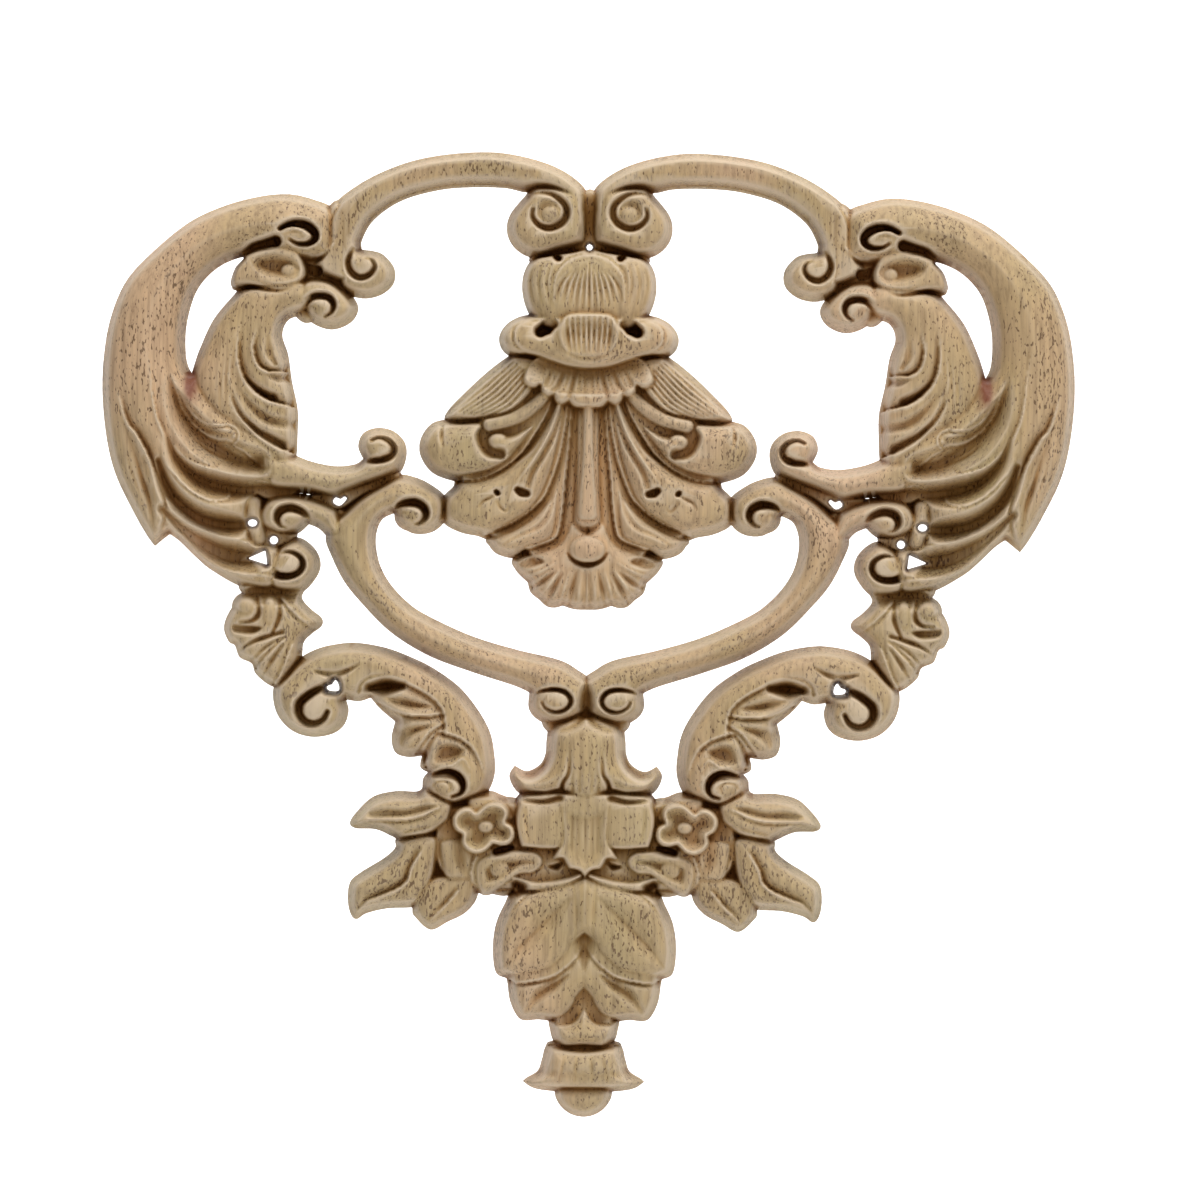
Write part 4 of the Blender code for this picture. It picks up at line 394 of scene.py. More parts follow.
def collar(wood):
    """Rolled collar round the bud, with a striped cup in front and a deep pit each side of the cup."""
    part = Layer()
    part.pillow(mirrored([(0, 33), (8, 32.8), (11.4, 32.5), (14, 31.9), (16.2, 30.5), (17.4, 28.4),
        (16.9, 26.2), (15, 24.9), (11.4, 24.4), (8, 23.2), (4, 22), (0, 21.6)]), 8, 12, 3, 4.5)
    part.lap([(12.4, 25.2), (14.2, 26.4), (15, 28.4), (14.2, 30.4), (12.2, 31.6)], (0.4, 0.7, 0.4), 1.4,
        (0.5, 1.2, 0.5), 1.0)
    part.groove([(16, 30), (16.5, 28.2), (15.8, 26.4)], (0.2, 0.5, 0.2), (0.3, 0.7, 0.3))
    part.groove([(12.6, 32), (9.6, 31.4), (7.4, 32.2)], (0.4, 0.8), (0.4, 1.2))
    part.pillow(mirrored([(0, 33.2), (4, 32.9), (5.6, 31.6), (6.5, 29), (5.4, 25.8), (3, 24.2),
        (0, 23.8)]), 12.2, 12.7, 0.6, 9)
    part.dish(mirrored([(0, 32.2), (3.6, 31.9), (4.9, 30.8), (5.6, 29), (4.8, 25.2), (2.8, 23.4),
        (0, 22.8)]), 1.0, 1.4)
    part.channel([(9.6, 29.3), (8.6, 30), (7.3, 30.8)], (0.5, 0.8, 0.3), 3, 9)
    for u in (0, 1.1, 2.2, 3.3, 4.4):
        part.groove([(u, 32.2), (0.95 * u, 29), (0.85 * u, 25.4)], (0.3, 0.5, 0.3), (0.5, 1.3, 0.4))
    wood.join(part)


def skirt(wood):
    """Scalloped frill that hangs from the collar over the top of the shell."""
    part = Layer()
    part.pillow(mirrored([(0, 24), (9, 24.4), (11.8, 22.6), (13, 20), (12.4, 18.7), (11, 18.2),
        (9.6, 18.7), (9.6, 18.7), (9.2, 17.2), (8.1, 16.5), (6.9, 16.8), (6.9, 16.8), (6.4, 15.5),
        (5.2, 15), (3.9, 15.6), (3.9, 15.6), (2.6, 14.5), (0, 14.2)]), 10, 11.2, 1.2, 8)
    part.channel([(12.6, 24.2), (8, 22.8), (4, 21.6), (0, 21.2)], 0.2, (8, 7.4, 7, 7), 0.8)
    for top, foot in ((2.6, 3.8), (5, 6.9), (7.4, 9.8)):
        part.groove([(top, 21.4), (0.5 * (top + foot), 18.8), (foot, 15.2 + 0.35 * foot)],
            (0.5, 0.8, 0.8), (0.3, 1, 1))
    for top, foot in ((0.6, 0.8), (1.6, 2.2), (3.8, 5.2), (6.4, 8.6)):
        part.groove([(top, 21), (0.5 * (top + foot), 18.6), (foot, 16.4 + 0.2 * foot)],
            (0.2, 0.35, 0.2), (0.2, 0.5, 0.1))
    wood.join(part)


def shell_side_wing(wood):
    """Finely fluted upper flank of the shell, with a plain fold along its lower edge."""
    part = Layer()
    part.pillow([(14, 25.5), (17, 24), (21, 20.8), (25.2, 16.8), (28, 13.8), (28.7, 11.8), (26, 10.6),
        (20, 11), (14, 12.4), (10, 17), (9, 24)], 5, 8.2, 2)
    upper = [(28, 13.8), (21.9, 19), (15.8, 24.2)]
    lower = [(20.8, 12), (15.4, 14.4), (11, 19.8)]
    for count in range(8):
        part.groove(between(upper, lower, (count + 0.5) / 8), (0.3, 0.4, 0.35), (0.6, 1.2, 1.0))
    part.band([(7.4, 18.4), (10.4, 15), (14.6, 12.2), (19.6, 10.8)], (1.2, 1.5, 1.5), 5.6, 8.4)
    part.groove([(26.8, 12.2), (21, 12), (15.4, 13.6), (10.8, 17.6)], (0.3, 0.6), (0.6, 1.2))
    wood.join(part)


def shell_bed(wood):
    """Low body under the shell's lobes, which keeps the valleys between them shallow."""
    part = Layer()
    part.pillow(mirrored([(0, 24), (12, 23), (17, 19), (24, 11), (31, 9), (31.6, 4), (26, 0),
        (27.6, -3.6), (27.4, -7.6), (22, -10), (18.6, -12.6), (13, -14.6), (10, -19), (6, -23),
        (0, -24)]), 5.8, 5.8, 1)
    wood.join(part)


def shell_lobe_one(wood):
    """Broad upper lobe of the shell, with a hooked channel that frees its curled inner lip."""
    part = Layer()
    part.pillow([(28.6, 11.9), (31.5, 10.9), (33.5, 8), (33.6, 4.8), (31.6, 1.6), (28.5, 0),
        (24.5, -0.6), (19, 0.6), (14.8, 3.2), (11.6, 6.8), (9, 11.2), (6.8, 16.6), (9.5, 18.4),
        (12, 13.4), (16, 10.4), (19.6, 10.6), (21, 12.2), (25, 12.2)], 5.4, 9.4, 3.6)
    part.channel([(8.6, 17), (9.7, 14.2), (11.6, 11.6), (14.6, 10.2), (18, 9.9), (20.2, 9), (20.2, 7),
        (19.2, 5.5), (17.4, 4.9)], (0.1, 0.2, 0.5, 0.8, 0.8, 0.4, 0.2), (6.4, 5, 3.8, 3.2, 4.6), 3.4)
    part.lap([(18.6, 8.7), (15.6, 9), (12.8, 9.6), (10, 11.5), (8, 14.6), (6.8, 17)], (0.3, 0.6, 0.4),
        1.2, 0.4, 0.7)
    part.bead((17.9, 7.5), (1.8, 1.4), 7.4, 9)
    part.groove([(28.9, 10.6), (29.2, 8.6), (28.9, 6.4)], (0.3, 0.6, 0.3), (0.8, 1.6, 0.5))
    part.groove([(17.6, 3.8), (13.6, 6.6), (10.6, 10.6), (8, 15.4)], (0.5, 1.1, 0.8), (0.3, 0.9, 0.7))
    wood.join(part)


def shell_lobe_two(wood):
    """Middle lobe of the shell, fluted near its root and nicked by small leaf cuts."""
    part = Layer()
    part.pillow([(25.4, 0.4), (27, -1.6), (28.9, -3.6), (29.3, -6.4), (28.6, -9), (25.4, -10.7),
        (22, -11.4), (19.6, -11.9), (14.6, -9.6), (11, -7.2), (8.2, -3.6), (6, 2), (4.6, 8),
        (3.6, 15.6), (6.8, 17), (8.6, 13.4), (11.4, 9.2), (14.8, 5.2), (19, 2.2)], 5.2, 9, 3.4)
    part.groove([(4.9, 15.6), (6.4, 10), (8.6, 5.4), (11, 1.4), (12, -1.6)], (0.4, 0.9, 0.9),
        (0.8, 1.8, 1.2))
    part.groove([(6.6, 15.4), (8.8, 10), (12, 5.6), (16, 2.8), (20, 0.6)], (0.4, 0.9, 0.4),
        (0.8, 1.5, 0.3))
    part.ridge([(5.8, 15.4), (7.6, 9.6), (10.2, 4.8), (13.2, 0.6), (14.2, -1.2)], (0.4, 0.6, 0.4),
        (0.5, 0.9, 0.3))
    part.channel([(13.9, -2.2), (13.1, -2.7), (12.2, -2.9)], (0.1, 0.35, 0.2), 3.4)
    part.channel([(18.2, -2.6), (17.9, -2.9)], 0.2, 6)
    part.groove([(21.6, -5.8), (20.9, -4.6), (19.4, -3.8), (18.2, -3.2)], 0.45, (0.3, 1.1, 0.5))
    part.groove([(18, -4.4), (17.4, -5.6), (16.4, -6.4), (15.8, -5.8)], 0.45, (0.3, 1.0, 0.3))
    wood.join(part)
    wood.lap([(27, -0.4), (22, -0.2), (17.3, 1.6), (13.4, 4.8), (10.6, 8.8), (8.1, 13.2),
        (6.7, 17)][::-1], (0.4, 0.7), 1.0, (0.8, 1.4, 1.8, 1.6), 2.4)


def shell_lobe_three(wood):
    """Narrow third lobe of the shell."""
    part = Layer()
    part.pillow([(20, -11.4), (19.6, -13.4), (18, -15), (14.7, -15.8), (12, -14.8), (8, -13.4),
        (5.9, -11.6), (5.1, -8), (4.6, -2), (3.8, 6), (3.2, 14), (3.9, 14.5), (4.8, 9.5), (6.4, 2),
        (8.4, -3), (11.4, -6.6), (15, -9)], 5, 8.4, 2.6)
    part.groove([(16.6, -13), (13.4, -11.2), (9.6, -9.4), (7.4, -6), (6, 0)], (0.3, 0.9, 0.7),
        (0.4, 1.0, 0.9))
    wood.join(part)
    wood.lap([(20.2, -11.2), (17.6, -10), (14.8, -8.8), (11.8, -6.8), (9.2, -4.4), (7.6, -1.4),
        (5.7, 4), (4.5, 10), (3.9, 15)][::-1], (0.4, 0.8), 1.0, (0.6, 1.3, 1.6, 1.4), 2)


def shell_foot(wood):
    """Lower fan of the shell with its central rib and bead."""
    part = Layer()
    part.pillow(mirrored([(0, 16), (3.2, 14.6), (4, 6), (4.6, -2), (5, -8), (6.4, -12), (10, -13.6),
        (14.9, -15.8), (14.3, -18.2), (11.9, -20.6), (11.9, -20.6), (11.3, -22.6), (9.6, -24),
        (9.6, -24), (8, -25.4), (6.2, -25.6), (4.9, -25.2), (4.9, -25.2), (2.6, -25.9), (0, -26)]), 4.8,
        8, 3)
    part.groove([(2.5, 14), (2.8, 2), (3.5, -8), (5, -12)], (0.5, 1.0, 1.2, 0.6), (1, 2, 2.2, 0.8))
    part.dish([(13.8, -16.4), (13.4, -17.8), (11, -18), (8.4, -16.8), (9, -15.6), (11.4, -15.2)], 2.4,
        0.9)
    part.groove([(11.4, -21.8), (9.4, -20.8), (6.6, -18.6)], (0.7, 0.9, 0.4), (1.4, 2, 0.5))
    part.groove([(8.2, -24.6), (6.8, -22), (5, -18.8)], (0.6, 0.9, 0.4), (1.0, 1.6, 0.5))
    part.groove([(3.6, -25.4), (3, -22), (2.2, -18.4)], (0.5, 0.9, 0.4), (0.8, 1.4, 0.5))
    part.groove([(0.6, -25.2), (0.4, -19)], (0.6, 0.4), (0.9, 0.5))
    for path in ([(13, -19.6), (9.6, -18.6), (6, -16.6)], [(10, -23.8), (8, -21.6), (5.4, -18)],
                 [(5.4, -25.2), (4.6, -22), (3.4, -18.2)], [(1.8, -25.6), (1.4, -20)]):
        part.ridge(path, (0.5, 0.6, 0.3), (0.5, 0.7, 0.2))
    part.lap([(3.3, 13.6), (3.9, 6), (4.5, -2), (4.9, -8), (6, -11.4)], (0.3, 0.4), 0.9, (0.6, 0.2),
        0.8)
    part.groove([(3, -4), (2.8, -8.2), (1.4, -9.8), (0, -10.2)], (0.8, 1, 1.2), (0.4, 1.2, 1.6))
    part.pillow(mirrored([(0, 15.5), (1.1, 14.8), (1.5, 4), (2.1, -5), (1.9, -7.9), (0, -8.5)]), 8.6,
        10, 1.6, 6)
    part.groove([(0, -9.8), (0, -11)], 0.5, 0.8)
    part.bead((0, -13.9), (3.6, 2.7), 8, 10.4)
    part.groove(arc((0, -13.9), (4, 3.1), -165, -15), (0.4, 0.8, 0.4), (1, 3, 1))
    wood.join(part)
    wood.lap([(14.4, -15.3), (12.2, -14.1), (9.3, -13.2), (6.9, -12.2), (5.6, -10.4), (4.9, -6),
        (4.4, 0), (3.7, 7), (3.3, 14)][::-1], (0.4, 0.8), 0.9, (0.6, 1.4, 1.6, 1.4), 1.8)


def wing_body(wood):
    """Broad wing round the crescent slit, and the breast inside it, each with its own folds."""
    wing = Layer()
    wing.pillow([(50.6, 44), (50.3, 51), (51.6, 54.1), (55, 55.6), (60, 56.7), (66, 56.2), (73, 54.3),
        (80, 51), (87, 45.3), (92.5, 39.3), (95.6, 32), (97, 24), (97.2, 16), (96.2, 7), (94.3, 0),
        (90.7, -7.3), (88.2, -11.6), (86.5, -13.9), (86.5, -13.9), (84.7, -12.4), (83.5, -11.5),
        (83.5, -11.5), (81.4, -13), (78.3, -16), (75, -18.7), (68.6, -22), (62, -22), (61, -14),
        (66.6, -12), (66.8, -5), (62.5, -2.4), (60, -2), (60, 6), (66, 11), (71, 14.5), (75.5, 18.5),
        (78.4, 22.4), (79.4, 21), (80.5, 24), (80.5, 30), (79, 36), (76.7, 39.7), (73.3, 42.5),
        (69.2, 44), (64, 44.4), (57, 43)], 4.6, 10.2, 8)
    feathers(wing)
    wood.join(wing)
    breast = Layer()
    breast.pillow([(56, 39.5), (60, 40.4), (68, 38.6), (70.9, 36.8), (75, 31.7), (77.8, 25.7),
        (79.5, 20.6), (79, 16.6), (76.4, 12), (72, 8.8), (69, 7), (66, 4), (60, 1.6), (58.4, 4),
        (58.1, 8.5), (58.1, 13.5), (59.3, 19.3), (60.1, 24.6), (61.3, 28.6), (60, 31.6), (56.5, 32.9),
        (54, 36)], 6.4, 9.2, 4)
    breast_folds(breast)
    wood.join(breast)


def breast_folds(part):
    """Folds that sweep down from the neck across the breast."""
    part.lap([(66, 29), (66.6, 26.4), (66.4, 24), (65.4, 22), (63.4, 21), (60, 21)], (0, 0.5, 0.6, 0.4),
        1.4, (0.4, 2, 3, 3.6), 2)
    part.groove([(63.8, 28), (63.5, 24.6), (62.4, 22.6)], (0.5, 1.2, 0.7), (0.4, 1.4, 1.6))
    part.groove([(63.8, 20.4), (61.6, 19.7), (59.4, 20)], (0.6, 1.3, 1.4), (0.4, 2.6, 3))
    part.lap([(69.4, 29), (69.7, 25), (69.2, 21.4), (67.8, 18.6), (65.5, 16.5), (63.2, 15.2), (59, 14)],
        (0, 0.4, 0.6, 0.5), 1.8, (0.4, 2, 3.2, 4), 2.4)
    part.groove([(68.4, 20), (66, 17.4), (62.8, 15.9)], (0.5, 1.3, 1.4), (0.4, 1.6, 2.2))
    part.groove([(69.4, 17.2), (67, 14), (63.6, 11.4), (59, 10.4)], (0.5, 1.5, 1.5), (0.3, 1.6, 2))
    part.lap([(71, 17), (70.7, 14.7), (69, 11.7), (66.3, 8.9), (63, 6.6), (58, 4.4)],
        (0, 0.3, 0.5, 0.5), 1.6, (0.4, 2, 3.4, 4.4), 2.4)
    part.groove([(68.4, 12), (65.4, 9), (61, 6.6)], (0.4, 1.2, 1.6), (0.3, 1.4, 2.4))
    for near, far in (((70.4, 27), (71, 17)), ((71.6, 25), (72.2, 15)), ((72.9, 23), (73.4, 13.4))):
        middle = (0.5 * (near[0] + far[0]) + 0.2, 0.5 * (near[1] + far[1]))
        part.groove([near, middle, far], (0.2, 0.4, 0.2), (0.1, 0.5, 0.1))
    part.ridge([(71.7, 20.3), (70.3, 16.3), (68, 12.3), (64.7, 9)], 0.8, (0.2, 0.7, 0.3))


def feathers(part):
    """Long feathers of the wing, each with a crisp crest, parted by cuts that run down to the tip."""
    part.dish([(93, 12), (92.6, 6), (91, 0), (88.6, -6), (86.2, -12), (85.4, -9), (85.4, -3), (87.4, 3),
        (90, 8)], 1.1, 2)
    part.lap([(93.8, 18), (91.7, 11), (89.7, 8.3), (87.7, 4.7), (86.3, 1.3), (85, -2.3), (84.3, -5.3),
        (84.3, -7.6), (85.2, -11)], (0, 0.5, 0.8, 0.8, 0.5), 1.1, (0, 1.6, 2.6, 3.4, 3, 1.4), 3)
    part.groove([(90.2, 4.4), (88.8, -0.4), (87.4, -4.6), (86.8, -9)], (0.3, 0.9, 0.3), (0.3, 1.3, 0.3))
    part.groove([(91.8, 4.8), (90.8, 0.6), (89.2, -3.4)], (0.3, 0.6, 0.3), (0.1, 0.6, 0.1))
    part.lap([(88, 27), (86.9, 20.3), (86.5, 16), (85.7, 12), (84.3, 8.7), (82, 5.7), (79.3, 3.2),
        (75.3, 1.8), (71.3, 1.4), (67.6, 1.5), (64.3, 2.1)], (0, 0.3, 0.7, 0.8, 0.8, 0.5), 1.2,
        (0, 0.4, 1, 1.4, 1.4, 1), 4)
    part.channel([(84.4, 24), (83.4, 19.6), (82.2, 15.8), (80.6, 12.4), (78.4, 9.4), (75.8, 7),
        (72.6, 4.9), (69.8, 3.4), (66, 2.6)], (0.1, 0.15, 0.25, 0.4, 0.4, 0.2),
        (10, 8, 5.8, 4.8, 4.4, 4.4), 1.5)
    part.lap([(70.5, 6.7), (72, 7.1), (73.3, 7.2), (75.5, 7.8), (78.1, 9.6), (80, 11.7), (81.5, 14.3),
        (82.2, 16.9), (83.3, 20.4)], (0.7, 0.8, 0.6, 0), 0.8, (0.5, 0.8, 0.6, 0), 1.2)
    part.lap([(70.5, 6.7), (69.6, 8), (70.2, 9.4), (71.5, 10.1), (73.5, 10), (75.5, 10.2), (77.8, 11.3),
        (79.6, 13.3), (81.7, 17.6)], (0.7, 0.8, 0.6, 0), 0.7, (0.7, 0.9, 0.6, 0), 0.9)
    part.groove([(71, 8.4), (74.6, 8.8), (77.8, 10.2), (80, 12.8), (81.6, 16.2)], (0.8, 1, 0.7, 0.3),
        (0.7, 0.9, 0.6, 0.2))
    part.lap([(64.6, 2), (65.9, 2.6), (67.2, 3.7), (68.7, 5), (70.2, 5.7), (71.1, 6.5)],
        (0.6, 0.7, 0.4), 0.8, (0.5, 0.8, 0.4), 0.9)
    part.groove([(78.6, 7.6), (75.6, 5.2), (71.5, 3.2)], (0.2, 0.5, 0.2), (0.3, 0.8, 0.3))
    part.channel([(84, 9), (82.4, 4.4), (79.8, 1.2), (76.8, -0.8), (73, -2), (69, -2.6), (64.6, -2.6),
        (60, -2.7)], (0.1, 0.2, 0.3, 0.5, 0.6, 0.5, 0.4), (9.4, 6.8, 4.4, 3, 2.6, 2.6), 2.4)
    part.lap([(60.6, -2.6), (62.7, -1.7), (64.8, -1.1), (67, -0.8)], (0.5, 0.6, 0.2), 0.7,
        (0.3, 0.6, 0.2), 0.8)
    part.lap([(71.3, -3.2), (71.4, -4.1), (72.4, -4.7), (74.2, -4.9), (76.3, -4.4), (78.9, -3),
        (81.7, -0.4), (84.1, 2.4), (85, 5)], (0.6, 0.8, 0.8, 0), 0.9, (0.4, 0.7, 0.4), 1.2)
    part.channel([(85.6, 3), (84.3, -1), (82.6, -4), (80.4, -6.3), (78, -8), (75.4, -9.1), (72.6, -9.6),
        (69.6, -9.7), (66.4, -9.3)], (0.1, 0.3, 0.5, 0.6, 0.6, 0.5), (7, 5, 3.6, 2.6, 2.4), 2.8)
    part.dish([(66.2, -4.6), (67.6, -4.4), (67.4, -6), (66, -6.4)], 4, 0.8)
    part.lap([(84.4, -3.8), (81.4, -6.8), (78.8, -8.8), (76, -10.4), (72.7, -11.9), (69.7, -12.7),
        (66.6, -12.7)], (0.3, 0.9, 1, 0.8), 1.1, 0.3, 0.7)
    part.channel([(84.6, -6.6), (82.4, -8.9), (79.8, -11.2), (77, -13.2), (74, -14.8), (71, -15.8),
        (67.4, -16.2)], (0.1, 0.3, 0.6, 0.9, 1, 0.8), (6.6, 4.4, 2.8, 2.4, 2), 2.4)
    part.lap([(83.2, -11), (80, -13.4), (76.4, -16.2), (72, -18.3), (67, -19.2), (62, -19.6)],
        (0.1, 0.5, 0.5), 1.2, (0, 0.3, 0.3), 1.0)


def wing_volute(wood):
    """Scroll at the wing's root, with the deep hollow that runs into it from under the wing."""
    wood.channel([(61.6, 49.5), (60.1, 50.3), (58.3, 50.6), (56.3, 50.1), (54.8, 48.8), (54.8, 47.4),
        (56.3, 46.5), (58.3, 46.6), (59.7, 47.4)], (0.1, 0.2, 0.4, 0.5, 0.4, 0.3, 0.2, 0.1),
        (4, 2.6, 2.2, 2.4, 3.4, 5, 7), 12)
    wood.lap([(53.4, 48.6), (53.8, 46.8), (55.8, 45.5), (58.2, 45.5), (60.2, 46.4), (61.4, 47.8)],
        (0.1, 0.4, 0.4), 0.8, 0.1, 0.4)
    wood.groove([(60.4, 48.6), (59, 48.9), (57.4, 48.7)], (0.3, 0.6, 0.4), (0.3, 0.8, 0.3))
    wood.channel([(69.3, 44.6), (67, 45.9), (64.8, 46.5), (62.6, 47)], (0.1, 0.4, 0.5, 0.7), (3, 2.2),
        9)
    wood.lap([(63.4, 46.2), (61.2, 44.8), (57.4, 44), (53.6, 44.6), (51.2, 46.6)], (0.3, 0.6), 1.0, 0.3,
        0.5)


def head(wood):
    """Curled leaf head under the wing, hollow inside its rim, with its eye-like ball."""
    part = Layer()
    part.pillow([(61, 46), (64, 45.6), (66.6, 45), (69, 43.7), (70.6, 41.6), (71.2, 39.8), (71, 38.4),
        (70.4, 37.9), (67.7, 38.2), (65.4, 37.8), (62.6, 37.4), (60, 37.7), (57.6, 38.8), (56.6, 41),
        (58, 44.8)], 7, 8.6, 1.8, 5)
    part.dish([(66.8, 44), (63.6, 45), (60.6, 44.6), (58, 43.4), (57, 41.4), (58.4, 39.4), (61.6, 39.1),
        (65, 39.8), (67.2, 41.6)], 2.8, 2.4)
    part.groove([(67.6, 43.6), (66.4, 42), (65.6, 40.4)], (0.3, 0.5, 0.2), (0.2, 0.4, 0.1))
    part.bead((59.8, 41), (1.7, 1.6), 6.4, 8.2)
    part.ridge([(65.8, 39.4), (63.6, 38.8), (61.6, 38.6), (59.5, 38.8), (58, 39.4), (56.8, 40.2)], 0.5,
        (0.1, 0.5, 0.5, 0.2))
    wood.join(part)
    wood.channel([(56, 42.3), (55.2, 41.4), (54.4, 41.2)], (0.3, 0.9, 1.0), 1.9, 12)
    wood.groove([(71.4, 37.6), (69.7, 37.9), (67.7, 38), (65.7, 37.6), (63.6, 37.2), (61.6, 37.1),
        (59.6, 37.6)], (0.6, 0.8, 0.6, 0.5, 0.3), (2.4, 2.4, 1.6, 1.2, 0.3))


def neck_volute(wood):
    """Scroll at the end of the neck, below the arch's foot."""
    part = Layer()
    part.pillow([(59, 38.4), (56, 40.2), (52, 40), (49, 38.2), (46.6, 35.4), (46.2, 33.4), (47.4, 31.3),
        (50, 29.9), (52.6, 29.8), (55.4, 31), (56.9, 33), (61, 32.4), (62, 36)], 4.8, 8.8, 2.4)
    part.channel([(56.6, 32.7), (56.4, 34.4), (55.4, 35.7), (53.6, 36.2), (51.8, 35.8), (50.9, 34.4),
        (51.3, 32.9), (52.6, 32)], (0.1, 0.3, 0.4, 0.35, 0.2, 0.1), (5, 4.2, 4.2, 6.4), 9)
    part.bead((53.9, 33.9), (1.7, 1.6), 7, 8.2)
    wood.join(part)


def stem(wood):
    """Stalk that crosses from the breast to a volute above the C-scroll."""
    part = Layer()
    part.pillow([(66, 5.6), (60.6, 5.2), (55.4, 3.3), (50.5, 2.4), (46.6, 2.8), (45, 3.9), (45, 3.9),
        (46, 6.4), (45, 9), (42.2, 10.1), (39, 9.5), (36.7, 7.3), (36.3, 4.4), (37.4, 1.4), (40, -0.2),
        (44.4, -1.8), (48, -3.2), (51, -4.2), (56, -3.2), (64, -2)], 4.8, 8.8, 2.6)
    part.channel([(45.9, 3.4), (43.4, 3.4), (40.8, 3.7), (39.1, 4.5), (38.7, 6), (39.7, 7.4), (41.6, 8),
        (43.2, 7.4)], (0.1, 0.3, 0.4, 0.4, 0.25, 0.1), (4.6, 4, 4, 6), 9)
    part.bead((41.9, 5.6), (1.5, 1.4), 7, 8.2)
    wood.join(part)


def small_scrolls(wood):
    """Two small scrolls between the wing and the C-scroll."""
    part = Layer()
    part.pillow([(49, -7.4), (51, -5.2), (55.4, -3.5), (60.3, -3), (64.2, -4.2), (66, -7.4),
        (65, -10.2), (61.6, -11.6), (58, -11.2), (55.7, -9.3), (55.7, -9.3), (53.4, -10.4), (51.4, -13),
        (50.2, -17), (47, -14)], 4.8, 8.2, 2.4)
    part.channel([(55.4, -8.8), (56, -7.6), (57.4, -6.6), (59.3, -6.1), (61.2, -6.7), (61.9, -8.3),
        (61.2, -9.7), (60, -10.1)], (0.2, 0.4, 0.5, 0.5, 0.3, 0.1), (5, 3.4, 3.4, 5.6))
    part.bead((59.2, -8.3), (1.3, 1.2), 6.6, 7.8)
    part.band([(66.8, -5.4), (66.4, -9), (65.8, -12)], 1.6, 3, 5.5)
    part.pillow([(61.6, -13.5), (57.9, -11.9), (54.6, -14), (53.3, -17), (54.2, -20), (57.4, -23),
        (63, -22.4), (64.2, -18)], 4.6, 8, 2.4)
    part.channel([(61.2, -15), (59, -14.9), (57.2, -15.9), (56.7, -17.5), (57.6, -19), (59.6, -19.7),
        (62, -19.4), (64, -18)], (0.1, 0.2, 0.3, 0.35, 0.4, 0.5), (6, 4, 3.4, 2.4), 9)
    part.bead((59.8, -17.1), (1.6, 1.3), 6.4, 7.6)
    wood.join(part)


def c_scroll(wood):
    """Great C-shaped scroll from the volute beside the shell round to the volute on the centre line."""
    part = Layer()
    part.pillow([(50.6, -8), (49, -6.6), (45.3, -3.3), (41, -0.7), (37.6, 0.8), (34, 0.1), (31, -1.4),
        (28.6, -3.4), (28, -6), (28.9, -9), (31.4, -10.8), (34.8, -11), (37.4, -9.4), (38.8, -7),
        (38.8, -7), (41.2, -8.4), (42.3, -12), (41.6, -16.8), (39.4, -21), (35.8, -24.8), (31.8, -27.4),
        (23.2, -31.3), (14.2, -34), (5.6, -36), (1.8, -38), (-1, -40.4), (-1, -45), (1.6, -48),
        (6, -49.2), (9.6, -48.1), (11.5, -45.8), (11.4, -42.6), (11.4, -42.6), (14.6, -41.2),
        (23.2, -38.5), (31.8, -35.3), (39.4, -30.6), (45.5, -24.5), (48.7, -20.5), (51, -16),
        (52.4, -11.8)], 4.8, 8.8, 3.6)
    part.channel([(38.6, -6.4), (37.6, -5.4), (36, -4.9), (34.2, -4.9), (32.7, -5.8), (32.2, -7.3),
        (33, -8.7), (34.4, -9.2)], (0.1, 0.35, 0.5, 0.4, 0.3, 0.1), (4.4, 3.4, 3.6, 6))
    part.bead((35.2, -7.5), (1.7, 1.5), 7, 8.2)
    part.channel([(10.8, -43.2), (9.4, -42.4), (7.8, -42), (6, -41.9), (4.2, -42.4), (3.1, -43.8),
        (3.4, -45.2), (4.8, -46.2), (6.6, -46.3), (8.2, -45.5), (8.8, -44.4)],
        (0.1, 0.15, 0.2, 0.2, 0.15, 0.1), (6, 5.2, 5.2, 6.4), 9)
    part.bead((6.2, -44.2), (2, 1.5), 7.4, 8.6)
    part.channel([(0, -37.6), (0, -42), (0, -48)], (0.1, 0.3, 0.8), (7, 4.6, 3.4), 3)
    wood.join(part)


